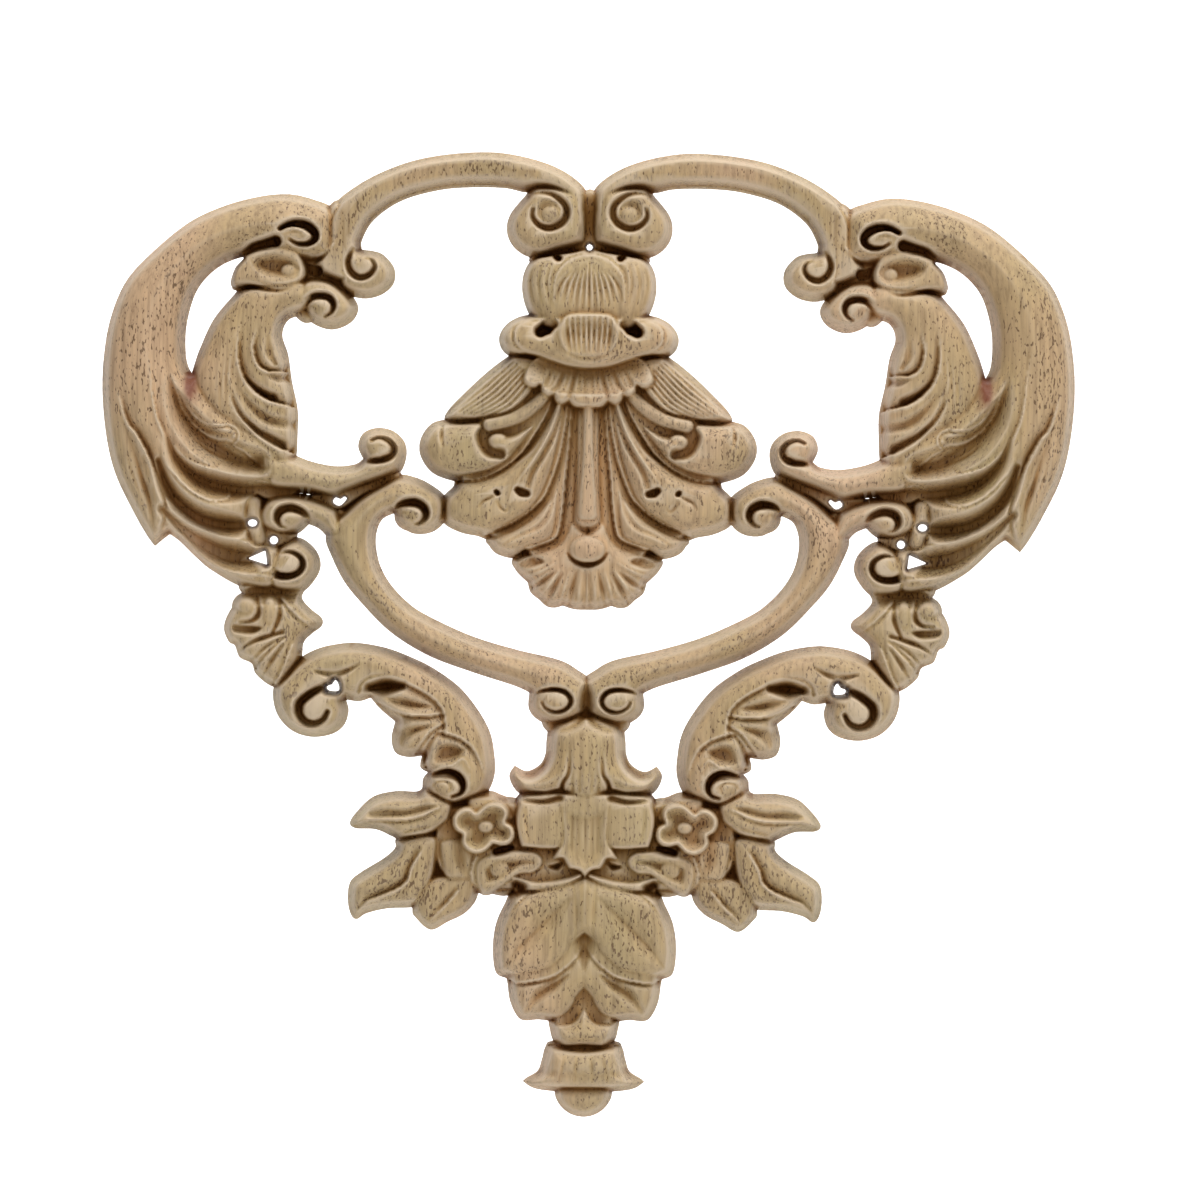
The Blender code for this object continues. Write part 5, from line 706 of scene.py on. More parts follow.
def little_shell(wood):
    """Small hanging shell under the wing tip, with a boss, a tongue and a fan of ribs."""
    part = Layer()
    part.pillow([(68.8, -21), (69, -23.8), (71.4, -26.6), (72.6, -30), (71.6, -32.9), (70.4, -33.6),
        (69.4, -36), (67, -37.2), (66.2, -39.2), (63.6, -41.4), (61, -42), (58.6, -39.4), (57, -36.4),
        (56.6, -33), (55, -31.2), (53, -29.6), (53, -28), (55.2, -26.2), (57, -24), (57, -21)], 4, 7.4,
        2.6)
    part.channel([(69, -23.4), (65.4, -22.6), (58, -22.8)], (0.3, 0.6, 0.5), 2.8, 1.8)
    part.bead((67.8, -25.9), (1.8, 1.7), 6.2, 8)
    part.groove([(65.8, -24), (65.4, -27), (66.6, -28.6), (69, -29)], (0.5, 0.9, 0.6), (1, 2.2, 1.4))
    part.dish([(70.6, -29.2), (66.4, -29.2), (64.4, -30), (66.4, -31.6), (70.4, -31.2)], 2.4, 1)
    part.bead((63.2, -27.2), (1.8, 3), 5.6, 8)
    part.groove([(61.4, -24), (61.2, -27.6), (62.6, -31)], (0.5, 0.8, 0.5), (0.8, 1.8, 1.4))
    part.lap([(54, -30.6), (57.6, -28), (60.8, -24.6)], (0.3, 0.6), 1.2, (0.6, 1.4), 1.4)
    part.groove([(68.9, -34.4), (66, -32.6), (60.6, -30.8)], (0.4, 0.8, 0.7), (1, 2, 1.4))
    part.lap([(66, -38.4), (63.6, -35.4), (60.5, -32.4)], (0.4, 0.7), 1.0, (1.4, 1), 1.2)
    part.groove([(66.8, -36.6), (64, -33.9), (61.2, -32.1)], (0.3, 0.6, 0.4), (0.6, 1.2, 0.6))
    part.lap([(62.4, -41.4), (60.9, -38.8), (60, -36.4), (58.8, -33.4)], (0.4, 0.7), 1.0, (1.2, 0.8),
        1.2)
    part.groove([(64.8, -40), (62.6, -36.4), (60.6, -33.4)], (0.3, 0.7, 0.4), (0.6, 1.4, 0.8))
    wood.join(part)


def acanthus(wood):
    """Leafy scroll that sweeps from the side volute down to the flower, lobed along its inner side."""
    part = Layer()
    part.pillow([(58, -36.6), (55.3, -34.8), (51.6, -33.5), (46.2, -32.9), (40, -33.9), (34.6, -35.9),
        (30.4, -38), (25.4, -41.6), (21.6, -46.2), (19.2, -50.6), (18.3, -55), (18.2, -59),
        (19.6, -62.6), (22.5, -64.5), (26.8, -65.7), (30.4, -64.2), (32.2, -60.6), (31.6, -58.7),
        (31.6, -58.7), (33.1, -57.7), (32.8, -55.4), (32.8, -55.4), (35.6, -55.7), (38.1, -54.8),
        (38.9, -52), (38.2, -48.6), (38.2, -48.6), (41.2, -46.1), (43.1, -43.9), (43.1, -43.9),
        (45.4, -44.6), (48, -44.3), (48, -44.3), (47.5, -46.6), (48.4, -49.4), (50.8, -51.2),
        (54.8, -51.8), (58.6, -50.7), (61.4, -48), (62.6, -44.6), (62.4, -41.4), (60.4, -39)], 5, 9.4,
        3)
    part.channel([(51.8, -41.6), (53.6, -42.3), (55.5, -43.5), (57, -45), (57.2, -46.9), (56.1, -48.5),
        (54.2, -49), (52.4, -48.2), (51.5, -46.6)], (0.2, 0.3, 0.4, 0.4, 0.3, 0.1),
        (4.8, 4.6, 4.8, 6.2), 6)
    part.bead((54.1, -46.2), (1.9, 1.8), 7, 8.8)
    part.groove([(54, -38.6), (50.6, -39.2), (48, -38.6), (45, -37)], (0.4, 1.0, 0.8, 0.3),
        (0.8, 2.2, 1.6, 0.2))
    part.groove([(45.3, -42.6), (44.6, -41), (42.6, -39.7), (39, -39.2)], (0.6, 0.8, 0.3),
        (2, 1.6, 0.3))
    part.lap([(28.2, -50.4), (28.3, -47.3), (29.2, -45.4), (30.9, -43.7), (33.3, -42.2), (35.7, -41),
        (37.6, -40.3), (40, -40), (41.7, -40.3), (43.6, -41.3)], (0.2, 0.4, 0.4, 0.3), 1.2,
        (0.9, 1.6, 1.8, 2.4), 2.6)
    part.channel([(43, -42), (41, -41.7), (39, -41.5), (36.6, -41.4)], (0.2, 0.5, 0.4, 0.1),
        (2.4, 2.4, 5.4), 4)
    part.dish([(41.8, -43.4), (39.4, -42.8), (35, -43.4), (30.6, -45), (31, -46.2), (35, -46.6),
        (39, -45.4)], 2.6, 2)
    part.lap([(28.8, -47), (31.6, -47.4), (35.2, -47.3), (37.8, -46.5), (41, -45)], (0.4, 0.7), 1.2,
        (1, 2, 1.6), 1.6)
    part.dish([(38.6, -50), (34.4, -48.8), (30.2, -48.9), (31.4, -50.2), (34, -51.8), (37, -54.4)], 2.2,
        1.7)
    part.lap([(28.8, -49.2), (31, -50.7), (32.4, -52.6), (34.4, -55.4)], (0.4, 0.7), 1.2, (1, 1.8, 1.4),
        1.6)
    part.groove([(31.8, -57.6), (32, -55.6), (31, -52.8), (29.6, -50.9)], (0.6, 0.9, 0.5), (2, 2, 0.8))
    part.lap([(20.4, -58.6), (21.4, -56), (22.4, -54.2), (23.6, -52.9), (25, -51.9), (26.8, -51.2),
        (28.6, -50.7)], (0.2, 0.5), 1.2, (0.4, 1.7, 1.4), 2)
    part.dish([(30.6, -56.6), (29.8, -53.2), (27, -52.2), (23.8, -53.6), (24.6, -55.8), (28, -57.2)],
        2.4, 1.9)
    part.lap([(32, -57.8), (29.4, -57.9), (26.8, -57), (24.4, -55.6), (22.8, -57.6)], (0.6, 0.8, 0.3),
        0.9, 0.3, 0.6)
    part.channel([(31.4, -59.2), (29.4, -58.9), (27.4, -58.7), (25.8, -59.1), (24.7, -60.2),
        (24.4, -61.6), (25, -62.8), (26.6, -63.4)], (0.1, 0.3, 0.5, 0.4, 0.25, 0.15, 0.1),
        (4, 3, 3.6, 6), 9)
    part.bead((28.2, -61.2), (2.6, 2), 7, 8.4)
    part.groove([(30.4, -61.4), (29.4, -60.4), (27.8, -60.3), (26.9, -61.2), (27.2, -62.2)], 0.4,
        (0.4, 1, 0.4))
    wood.join(part)


def bell(wood):
    """Bell with curling petals under the lower volutes, and the cup that it opens over."""
    part = Layer()
    part.pillow(mirrored([(0, -46), (5, -47.5), (7.3, -49.2), (7.9, -52), (8.1, -54.8), (9.2, -57),
        (11.8, -58.3), (14.2, -57.2), (14.2, -57.2), (15.3, -59.2), (14.2, -61.9), (12, -63.4),
        (8, -64), (5, -63.4), (2.8, -65.2), (0, -66)]), 6.8, 11.4, 5)
    part.groove([(7, -50.2), (4, -49.6), (1.4, -48.4), (0, -47)], 1.2, (0.6, 1.6, 3))
    part.groove([(4.9, -62.8), (4.5, -60.4), (3.4, -58.4), (3.2, -54)], (0.6, 0.6, 0.5, 0.2),
        (3.4, 2.2, 1.2, 0.2))
    part.groove([(13.6, -59), (11, -59.4), (8.8, -58), (7, -54.6)], (0.4, 1.2, 1.0, 0.4),
        (0.5, 1.6, 1.2, 0.3))
    part.lap([(12.4, -63), (9.6, -63.3), (7.6, -63), (6.2, -62), (5.2, -61.4)][::-1], (0.4, 0.8), 1.0,
        0.4, 0.5)
    part.ridge([(4, -62.2), (2.4, -64), (0, -64.8), (-2.4, -64)], 0.6, 0.5)
    for u in (1.2, 2.6):
        part.groove([(u, -62), (u + 0.1, -59.6), (u, -57.4)], (0.4, 0.4, 0.2), (0.6, 0.5, 0.1))
    wood.join(part)
    cup = Layer()
    cup.pillow([(3.4, -62.6), (12, -63), (13.6, -65.6), (14, -68.4), (13.6, -71), (12.8, -73.4),
        (12.8, -73.4), (5, -73.6), (3.4, -70), (3.4, -66)], 8.6, 9.6, 1.6, 5.5)
    cup.groove([(12, -66), (11.8, -69), (11.2, -72)], (0.3, 0.5, 0.3), (0.2, 0.5, 0.2))
    leaf = [(0, -79.4), (0, -79.4), (1.2, -78), (3.2, -77.5), (3.2, -77.5), (3.9, -76.4), (4.5, -75.5),
        (6.5, -75.6), (6.5, -75.6), (5.6, -73.8), (4.8, -72.2), (4.7, -70), (5, -66), (5, -62.8)]
    cup.pillow(mirrored([(0, -62.6)] + leaf[:0:-1] + [(0, -79.4)]), 9.4, 10, 0.6, 7)
    cup.dish(mirrored([(0, -66), (4, -66), (3.8, -71), (4, -73.6), (2.6, -76.2), (0, -77.8)]), 0.8, 2)
    wood.join(cup)
    wood.channel([(12.8, -63.8), (8.4, -64.2), (5.2, -63.4)], (0.1, 0.1, 0.2), (8, 7.6, 7.2), 3)
    for u in (0, 1.3, 2.6):
        wood.groove([(u, -66), (u, -70), (0.9 * u, -75)], (0.2, 0.35, 0.2), (0.1, 0.3, 0.1))


def centre_leaves(wood):
    """Two pairs of leaves that hang on the centre line below the cup, with a small leaf each side."""
    lower_pair = Layer()
    lower_pair.pillow([(15.6, -98), (15.3, -101.2), (14.8, -104.4), (13.4, -107.3), (11.9, -108.2),
        (9, -108), (4.9, -108.4), (2.4, -107.2), (0.8, -105), (0, -103.4), (-5, -98), (-5, -87),
        (6, -88), (14, -95)], 5.6, 8.4, 2.4)
    lower_pair.groove([(0, -91), (0, -94.4), (0, -97.6)], (3, 2.4, 0.6), (2, 2, 0.5))
    lower_pair.groove([(3.5, -98.8), (5.5, -100.3), (8.7, -102.4), (11, -105.2), (12.6, -107.8)],
        (0.8, 1.8, 1.8, 1, 0.4), (0.6, 1.8, 1.6, 0.8, 0.2))
    lower_pair.lap([(3.4, -98.6), (5.5, -100.2), (8.7, -102.3), (11, -105.1)], (0.3, 0.5, 0.1), 1.2,
        0.4, 0.5)
    wood.join(lower_pair)
    upper_pair = Layer()
    upper_pair.pillow([(14.6, -82.4), (16, -84.8), (17.6, -88.4), (18.3, -92.4), (18.2, -96.4),
        (17.5, -98.9), (15.5, -99.8), (13.4, -100.5), (10, -100.2), (6.2, -99.1), (3.6, -97.2),
        (1.4, -95), (0, -92.4), (-5, -88), (-5, -77), (5, -79.4), (10, -80.6)], 6.2, 9.8, 3)
    upper_pair.groove([(2.8, -83.4), (7.6, -88), (12.4, -93), (16.4, -98)], (0.8, 3, 2.6, 0.6),
        (0.2, 0.8, 0.8, 0.2))
    upper_pair.groove([(3.4, -83.8), (8, -88.4), (13, -93.4), (16.8, -98.4)], (0.3, 0.5, 0.5, 0.3),
        (0.1, 0.25, 0.3, 0.1))
    upper_pair.ridge([(0, -78), (0, -86), (0, -93.4)], (0.5, 0.8, 0.5), (0.2, 0.35, 0.2))
    upper_pair.groove([(2.4, -80), (1.8, -86), (1.6, -92)], (0.4, 0.9, 0.4), (0.2, 0.4, 0.1))
    upper_pair.lap([(10.1, -82), (13, -83.9), (15.2, -86.8)], (0.2, 0.3), 0.9, (0.6, 1.2, 0.4), 1.0)
    wood.join(upper_pair)
    wood.lap([(0, -92.4), (1.4, -95.2), (3.8, -97.5), (6.2, -99.1), (10, -100.1), (13.4, -100.4),
        (15.5, -99.7), (17.5, -98.8)], (0.2, 0.5), 1.0, (0.2, 1.8, 1.6), 1.4)
    sepal = Layer()
    sepal.band([(1, -78.9), (3.4, -80), (6.2, -80.8), (9.8, -81.1), (12.6, -80.4), (14, -79.8)],
        (0.4, 0.7, 0.8, 0.8, 0.4), 7.4, 8.6)
    wood.join(sepal)
    small_leaf = Layer()
    small_leaf.pillow([(8.4, -75.4), (8.6, -77.2), (10.4, -78.6), (12.9, -78.8), (14.6, -80),
        (16.8, -81.4), (20.2, -82.6), (22, -79.4), (21.4, -76), (18, -74.4), (14, -73.9), (10.2, -74)],
        7.4, 8.4, 1, 5)
    small_leaf.dish([(10.2, -75.6), (10, -76.8), (12.4, -77.4), (15, -79), (17.6, -80.4), (19.8, -80.6),
        (20.2, -77.4), (17, -75.8), (13, -75.3)], 1.8, 1.6)
    wood.join(small_leaf)
    wood.channel([(13.6, -81.2), (12.8, -81.6)], (0.4, 0.3), 2.4, 4)
    wood.groove([(4.6, -76.4), (5.6, -77.2), (7, -77.2)], (0.5, 0.9, 0.4), (1, 2.6, 1.4))


def side_leaves(wood):
    """Three pointed leaves that spread to the side behind the flower, each creased along its midrib."""
    lowest = Layer()
    lowest.pillow([(33.6, -80), (34.5, -86), (33.8, -87.8), (30.8, -90.2), (27.4, -88.6), (23.7, -86.6),
        (21.4, -83.2), (22, -78)], 4, 6.4, 2)
    lowest.lap([(30.6, -87.6), (29.4, -86.3), (27.9, -84.9), (25.6, -82.2)], (0.3, 0.6), 1.2,
        (0.6, 1.6, 1), 1.6)
    wood.join(lowest)
    middle = Layer()
    middle.pillow([(37.6, -71.8), (38, -73.8), (40.2, -75.9), (44.7, -78.7), (47, -80.8), (47.4, -84.4),
        (46.8, -87.2), (45.6, -88.2), (43.6, -87), (39.4, -86), (33.8, -85.6), (31.6, -83.6),
        (29.6, -80), (28.6, -72), (32, -70)], 4.4, 8, 2.6)
    middle.lap([(46, -87), (43.6, -84.4), (40.8, -83.2), (37.6, -81.8), (35.6, -80.2), (34.8, -77.6),
        (33.2, -74.8)], (0.2, 0.7, 0.7, 0.4), 1.6, (0.6, 2.2, 2.2, 1.4), 2.4)
    middle.lap([(28.7, -79.8), (29.2, -78.2), (29.6, -75.9), (29.4, -73.7), (30, -71.4)][::-1],
        (0.3, 0.5), 1.0, (0.6, 0.9), 1.0)
    wood.join(middle)
    upper = Layer()
    upper.pillow([(31.6, -61.4), (33.6, -62.5), (38, -62.5), (42.4, -63.6), (45.5, -66.4),
        (47.1, -68.8), (46, -70), (41.9, -70.2), (38.4, -71.7), (36.6, -72.6), (31.8, -72.2),
        (28.4, -70.4), (26, -68), (26, -64)], 4.8, 8.8, 2.4)
    upper.dish([(43.6, -66.4), (40, -65.4), (36, -65.6), (32, -64.6), (29, -65.2), (32, -67),
        (37.4, -68), (43, -68.2)], 1.6, 1.4)
    upper.lap([(46.4, -69.4), (44.1, -68.5), (41.9, -68.2), (37.4, -68.3), (35.2, -68.1), (32.6, -67.4),
        (29.6, -66)][::-1], (0.4, 0.7), 1.4, (0.6, 1.6), 1.4)
    upper.groove([(38.6, -71.4), (35, -70.4), (31, -69.4)], (0.3, 0.7, 0.4), (0.2, 0.6, 0.3))
    wood.join(upper)
    stalk = Layer()
    stalk.pillow([(29.4, -71.4), (29.4, -78), (27.6, -80.8), (24, -81.2), (21.4, -82.8), (17, -82.6),
        (13.8, -82), (14, -78), (20, -71)], 4.8, 7.2, 1.6)
    stalk.groove([(25.8, -72.4), (25, -75.6), (23.6, -79.4)], (1.4, 1.8, 1), (0.6, 1, 0.4))
    stalk.lap([(22.6, -80.8), (22.8, -78), (22, -75.4)], (0.3, 0.5), 1.2, (0.5, 0.8), 1.2)
    stalk.bead((17.1, -77.7), (2.2, 2.1), 6.6, 8.4)
    wood.join(stalk)
    wood.groove([(19.2, -75.6), (19.6, -77.2), (19.2, -78.8), (18.2, -79.8), (16.6, -80.2)], 0.6,
        (0.8, 2, 1.4))


def flower(wood):
    """Four-petalled flower beside the bell: one hollow bowl with a raised rim round a small button."""
    leaf_tip = Layer()
    leaf_tip.pillow([(19.4, -62.3), (17.2, -62.9), (15, -64.2), (13.6, -66), (13.6, -66), (13.2, -68),
        (16, -70), (24, -68), (24, -63)], 4.4, 7.4, 2)
    wood.join(leaf_tip)
    part = Layer()
    centre = (19.8, -69.3)
    outline = [(21.8, -66), (21.8, -66), (22.8, -65.2), (24.2, -65.2), (25.6, -65.9), (26.6, -67.2),
        (26.7, -68.8), (26, -70.2), (24.8, -71), (24.8, -71), (24.9, -72.6), (23.8, -74.2), (21.8, -75),
        (19.8, -74.5), (18.2, -73), (18.2, -73), (16.4, -73.3), (14.8, -72.8), (13.9, -71.7),
        (13.7, -70.4), (14.2, -69), (15.4, -68.2), (15.4, -68.2), (15, -67), (15.1, -65.8), (16, -64.7),
        (17.8, -64.1), (19.8, -64.4)]
    part.pillow(outline, 9.8, 10.2, 0.3, 5)
    part.dish(between(outline, [centre] * len(outline), 0.1), 2.8, 2.6)
    part.bead(centre, (1.5, 1.2), 8, 9.4)
    wood.join(part)
    wood.channel([(17.8, -74.3), (16.4, -73.9), (14.6, -73.5)], (0.3, 0.4, 0.2), 3, 9)


def finial(wood):
    """Turned-looking end: neck ring, lower bell with a flared lip, and a knob."""
    neck = Layer()
    neck.pillow(mirrored([(0, -103.6), (1.6, -105.2), (3, -107), (6.8, -107.6), (6.8, -110),
        (6, -112.4), (4, -114), (0, -114)]), 5.4, 9.2, 3)
    wood.join(neck)
    part = Layer()
    part.pillow(mirrored([(0, -112), (6.4, -112.2), (7.7, -113.4), (8.4, -116), (9.2, -118.2),
        (11.4, -119.6), (12.2, -120.3), (12.2, -120.3), (10, -121.7), (6, -122.3), (0, -122.6)]), 5.8,
        9.8, 4)
    part.groove([(10.4, -119.4), (8, -118.4), (4, -118.6), (0, -118.8)], (0.6, 1.6, 1.8),
        (0.2, 0.6, 0.6))
    part.lap([(12, -120.3), (9.8, -121.4), (6, -122.1), (0, -122.4)][::-1], (0.4, 0.5), 1.2, 0.2, 0.4)
    for top, foot in ((1.4, 1.8), (3.8, 4.8), (5.8, 7.6)):
        part.groove([(top, -114.6), (0.5 * (top + foot), -117), (foot, -120)], (0.2, 0.5, 0.2),
            (0.1, 0.5, 0.2))
    part.pillow(mirrored([(0, -120), (5, -121), (5.7, -123), (4.6, -125.2), (2.6, -126.8),
        (0, -127.4)]), 3.8, 7.4, 3)
    wood.join(part)
    wood.groove([(6.8, -113), (3, -113.6), (0, -113.8)], (0.5, 0.7), 1.7)


def webs(wood):
    """Thin floors left between neighbours, so that their valleys do not open."""
    part = Layer()
    for points in (
            [(-3, 56.6), (2, 57), (3, 48), (10.8, 45.4), (10.8, 43), (-3, 43)],
            [(46, 41), (55, 46), (60, 50), (66, 47.4), (70, 44.6), (64, 40), (57, 31), (50, 36)],
            [(26.6, 0), (28.2, -4), (28.8, -8.6), (22, -10), (12, 4), (8, 16), (14, 22), (26, 14)],
            [(20, -10), (18, -14), (-4, -20), (-4, 20), (10, 20), (20, 0)],
            [(27.4, -4.6), (28.4, -3.6), (29.6, -4), (30, -8.6), (28.4, -8.8), (27, -8)],
            [(66, 4), (58.8, 4.2), (57, 0), (58, -3.4), (63, -5), (68, -2)],
            [(50, -6), (51, -10), (51.6, -14), (49, -14), (47, -8)],
            [(38, 1.6), (44, -0.6), (50, -2.6), (55, -3), (55, -5), (50, -6.6), (44, -3.4), (38, -1)],
            [(63.6, -14.4), (60, -13.6), (58.4, -12.4), (58.2, -11), (62, -10.4), (68.6, -8),
             (68, -13)],
            [(68, -18), (69, -23), (58, -24), (57, -20), (62, -19)],
            [(63, -41), (60, -42), (58, -38), (58.6, -35.6), (62, -38)],
            [(48, -40), (53, -41), (53, -45), (48.4, -45)],
            [(8, -47), (-4, -43), (-4, -52), (6.6, -51)],
            [(11.4, -62.4), (12.6, -65), (14, -67), (14, -74), (14.6, -82), (10, -84), (-4, -84),
             (-4, -60)],
            [(31, -63), (19.8, -62.6), (14, -66), (14, -82), (22, -82), (34, -78), (36, -70)],
            [(5.4, -106.6), (-3, -100), (-3, -112), (6, -111)]):
        part.pillow(points, WEB_HEIGHT, WEB_HEIGHT, 1)
    part.pillow([(48.4, 40), (48, 50), (49.6, 55.4), (52.4, 54), (53.6, 48), (52.6, 41)], 6, 6, 1)
    part.pillow([(-3, -60), (12.6, -63), (13.6, -68), (14, -76), (14, -81), (10, -83.6), (-3, -83.6)],
                6.4, 6.4, 1)
    part.pillow([(12, -65), (12, -80), (20, -81.6), (28, -80), (31, -74), (29, -66), (22, -64)],
                5.6, 5.6, 1)
    part.pillow([(-3, -100), (3, -101), (6, -106), (6, -111), (-3, -111)], 6, 6, 1)
    wood.join(part)


def piercings(wood):
    """The crescent slit in the wing and the small holes that the saw left between scrolls."""
    wood.pierce([(69.2, 44), (73.3, 42.5), (76.7, 39.7), (79, 36), (80.4, 30), (80.4, 24), (79.4, 20.8),
        (79.4, 20.8), (77.8, 25.7), (75, 31.7), (70.8, 36.8), (70.8, 36.8), (71.8, 38.6), (70.9, 41.8)])
    wood.pierce([(67.9, -16.2), (67.9, -16.2), (64.4, -14.6), (64.4, -14.6), (64, -17.4), (64, -17.4)])
    wood.pierce(arc((67, -9.1), (0.9, 0.7), 0, 315))
    wood.pierce(arc((62.7, -12.5), (0.8, 0.8), 0, 315))
    wood.pierce([(48.2, -4.1), (49.6, -5.5), (50.9, -4.8), (50.4, -3.9), (49.4, -4.2), (48.7, -3.7)])
    wood.pierce([(50.2, -40.4), (49.6, -41.2), (49.6, -42.5), (51.6, -42.4), (51.8, -41.6),
        (50.9, -41.3)])
    wood.pierce(arc((0, 46.5), (0.6, 0.6), -90, 225))


def carve():
    """All the carving, laid into one board from the back forward."""
    wood = Layer()
    features = (webs, wing_body, arch, wing_volute, head, neck_volute, stem, small_scrolls, c_scroll,
        little_shell, acanthus, shell_bed, shell_side_wing, shell_lobe_one, shell_lobe_two,
        shell_lobe_three, shell_foot, bulb, collar, skirt, side_leaves, bell, centre_leaves, flower,
        finial)
    for feature in features:
        feature(wood)
    piercings(wood)
    return wood.height


def blur(field, radius, passes=3):
    """Soft average of a field over a radius in millimetres, by passes of a box."""
    reach = max(1, round(radius / CELL))
    for _ in range(passes):
        for axis in (0, 1):
            pad = [(reach, reach) if k == axis else (0, 0) for k in (0, 1)]
            wide = np.pad(field, pad, mode="symmetric" if axis else "edge")
            total = np.cumsum(np.insert(wide, 0, 0, axis=axis), axis=axis)
            low = np.take(total, range(field.shape[axis]), axis=axis)
            high = np.take(total, range(2 * reach + 1, 2 * reach + 1 + field.shape[axis]), axis=axis)
            field = (high - low) / (2 * reach + 1)
    return field


def front_sheet(height):
    """Carved front surface of the half board as a mesh whose outer edge lies on the back plane."""
    solid = height > 0
    rows, cols = np.nonzero(solid)
    index = np.full(height.shape, -1)
    index[rows, cols] = np.arange(len(rows))
    places = np.column_stack([U_LINE[cols], -height[rows, cols], Z_LINE[rows]]) * MM
    extra = []
    rims = {}

    def rim(a, b):
        key = (min(a, b), max(a, b))
        if key not in rims:
            low, high = height[key[0]], height[key[1]]
            share = min(max(low / (low - high), RIM_MARGIN), 1 - RIM_MARGIN)
            u = U_LINE[key[0][1]] + share * (U_LINE[key[1][1]] - U_LINE[key[0][1]])
            z = Z_LINE[key[0][0]] + share * (Z_LINE[key[1][0]] - Z_LINE[key[0][0]])
            rims[key] = len(places) + len(extra)
            extra.append((u * MM, 0.0, z * MM))
        return rims[key]

    whole = solid[:-1, :-1] & solid[1:, :-1] & solid[:-1, 1:] & solid[1:, 1:]
    faces = np.column_stack([index[:-1, :-1][whole], index[:-1, 1:][whole],
                             index[1:, 1:][whole], index[1:, :-1][whole]]).tolist()
    busy = (solid[:-1, :-1] | solid[1:, :-1] | solid[:-1, 1:] | solid[1:, 1:]) & ~whole
    for row, col in np.argwhere(busy).tolist():
        ring = ((row, col), (row, col + 1), (row + 1, col + 1), (row + 1, col))
        face = []
        for here, after in zip(ring, ring[1:] + ring[:1]):
            if solid[here]:
                face.append(int(index[here]))
            if solid[here] != solid[after]:
                face.append(rim(here, after))
        faces.append(face)
    mesh = bpy.data.meshes.new("half_front")
    mesh.from_pydata(np.vstack([places, extra]).tolist(), [], faces)
    return mesh


def evaluated_mesh(piece):
    """Mesh of an object with its modifiers applied."""
    graph = bpy.context.evaluated_depsgraph_get()
    return bpy.data.meshes.new_from_object(piece.evaluated_get(graph))


def within(spots, edges):
    """Which points of the back lie on wood, where a line to the right meets the rim an odd time."""
    odd = np.zeros(len(spots), bool)
    for start, end in edges:
        if start[1] != end[1]:
            level = (start[1] > spots[:, 1]) != (end[1] > spots[:, 1])
            crossing = start[0] + (spots[:, 1] - start[1]) * (end[0] - start[0]) / (end[1] - start[1])
            odd ^= level & (crossing > spots[:, 0])
    return odd


def halve_chords(body):
    """Halves the front's edges that cross from rim to rim, so that the back's can't lie on them."""
    inner = [edge for edge in body.edges if not edge.is_boundary]
    chords = [edge for edge in inner if all(vert.is_boundary for vert in edge.verts)]
    for chord in chords:
        middle = bmesh.utils.edge_split(chord, chord.verts[0], 0.5)[1]
        middle.co.y = min(middle.co.y, -CHORD_RISE)
        for face in list(middle.link_faces):
            ring = list(face.verts)
            bmesh.utils.face_split(face, middle, ring[ring.index(middle) - 2])


def close_back(mesh):
    """Brings the outer edge onto the back plane and fills the flat back."""
    body = bmesh.new()
    body.from_mesh(mesh)
    bmesh.ops.triangulate(body, faces=body.faces)
    halve_chords(body)
    for vert in body.verts:
        if vert.is_boundary:
            vert.co.y = 0
    rim = [vert for vert in body.verts if vert.is_boundary]
    places = {vert: i for i, vert in enumerate(rim)}
    edges = [tuple(places[vert] for vert in edge.verts) for edge in body.edges if edge.is_boundary]
    spots = np.array([(vert.co.x, vert.co.z) for vert in rim])
    found = delaunay_2d_cdt([Vector(spot) for spot in spots], edges, [], WHOLE_HULL, MERGE_DISTANCE)
    corners = [rim[sources[0]] for sources in found[3]]
    middles = np.array([np.mean([found[0][i] for i in triangle], axis=0) for triangle in found[2]])
    for triangle, wooden in zip(found[2], within(middles, spots[edges])):
        if wooden:
            body.faces.new([corners[i] for i in triangle])
    bmesh.ops.recalc_face_normals(body, faces=body.faces)
    body.to_mesh(mesh)
    body.free()


def read_field(field, mesh):
    """Value of a field at each vertex of the carved front, and nothing on the plain back."""
    places = np.empty(len(mesh.vertices) * 3)
    mesh.vertices.foreach_get("co", places)
    places = places.reshape(-1, 3) / MM
    u = np.clip(np.abs(places[:, 0]) / CELL, 0, len(U_LINE) - INSIDE_LAST_CELL)
    z = np.clip((places[:, 2] - BOTTOM) / CELL, 0, len(Z_LINE) - INSIDE_LAST_CELL)
    col, row = u.astype(int), z.astype(int)
    right, up = u - col, z - row
    value = (field[row, col] * (1 - right) * (1 - up) + field[row, col + 1] * right * (1 - up)
             + field[row + 1, col] * (1 - right) * up + field[row + 1, col + 1] * right * up)
    return np.where(places[:, 1] < 0, value, 0)


def mark(mesh, name, field):
    """Stores a field on the mesh, for the wood material to read."""
    layer = mesh.attributes.new(name, "FLOAT", "POINT")
    layer.data.foreach_set("value", read_field(field, mesh).astype(np.float32))


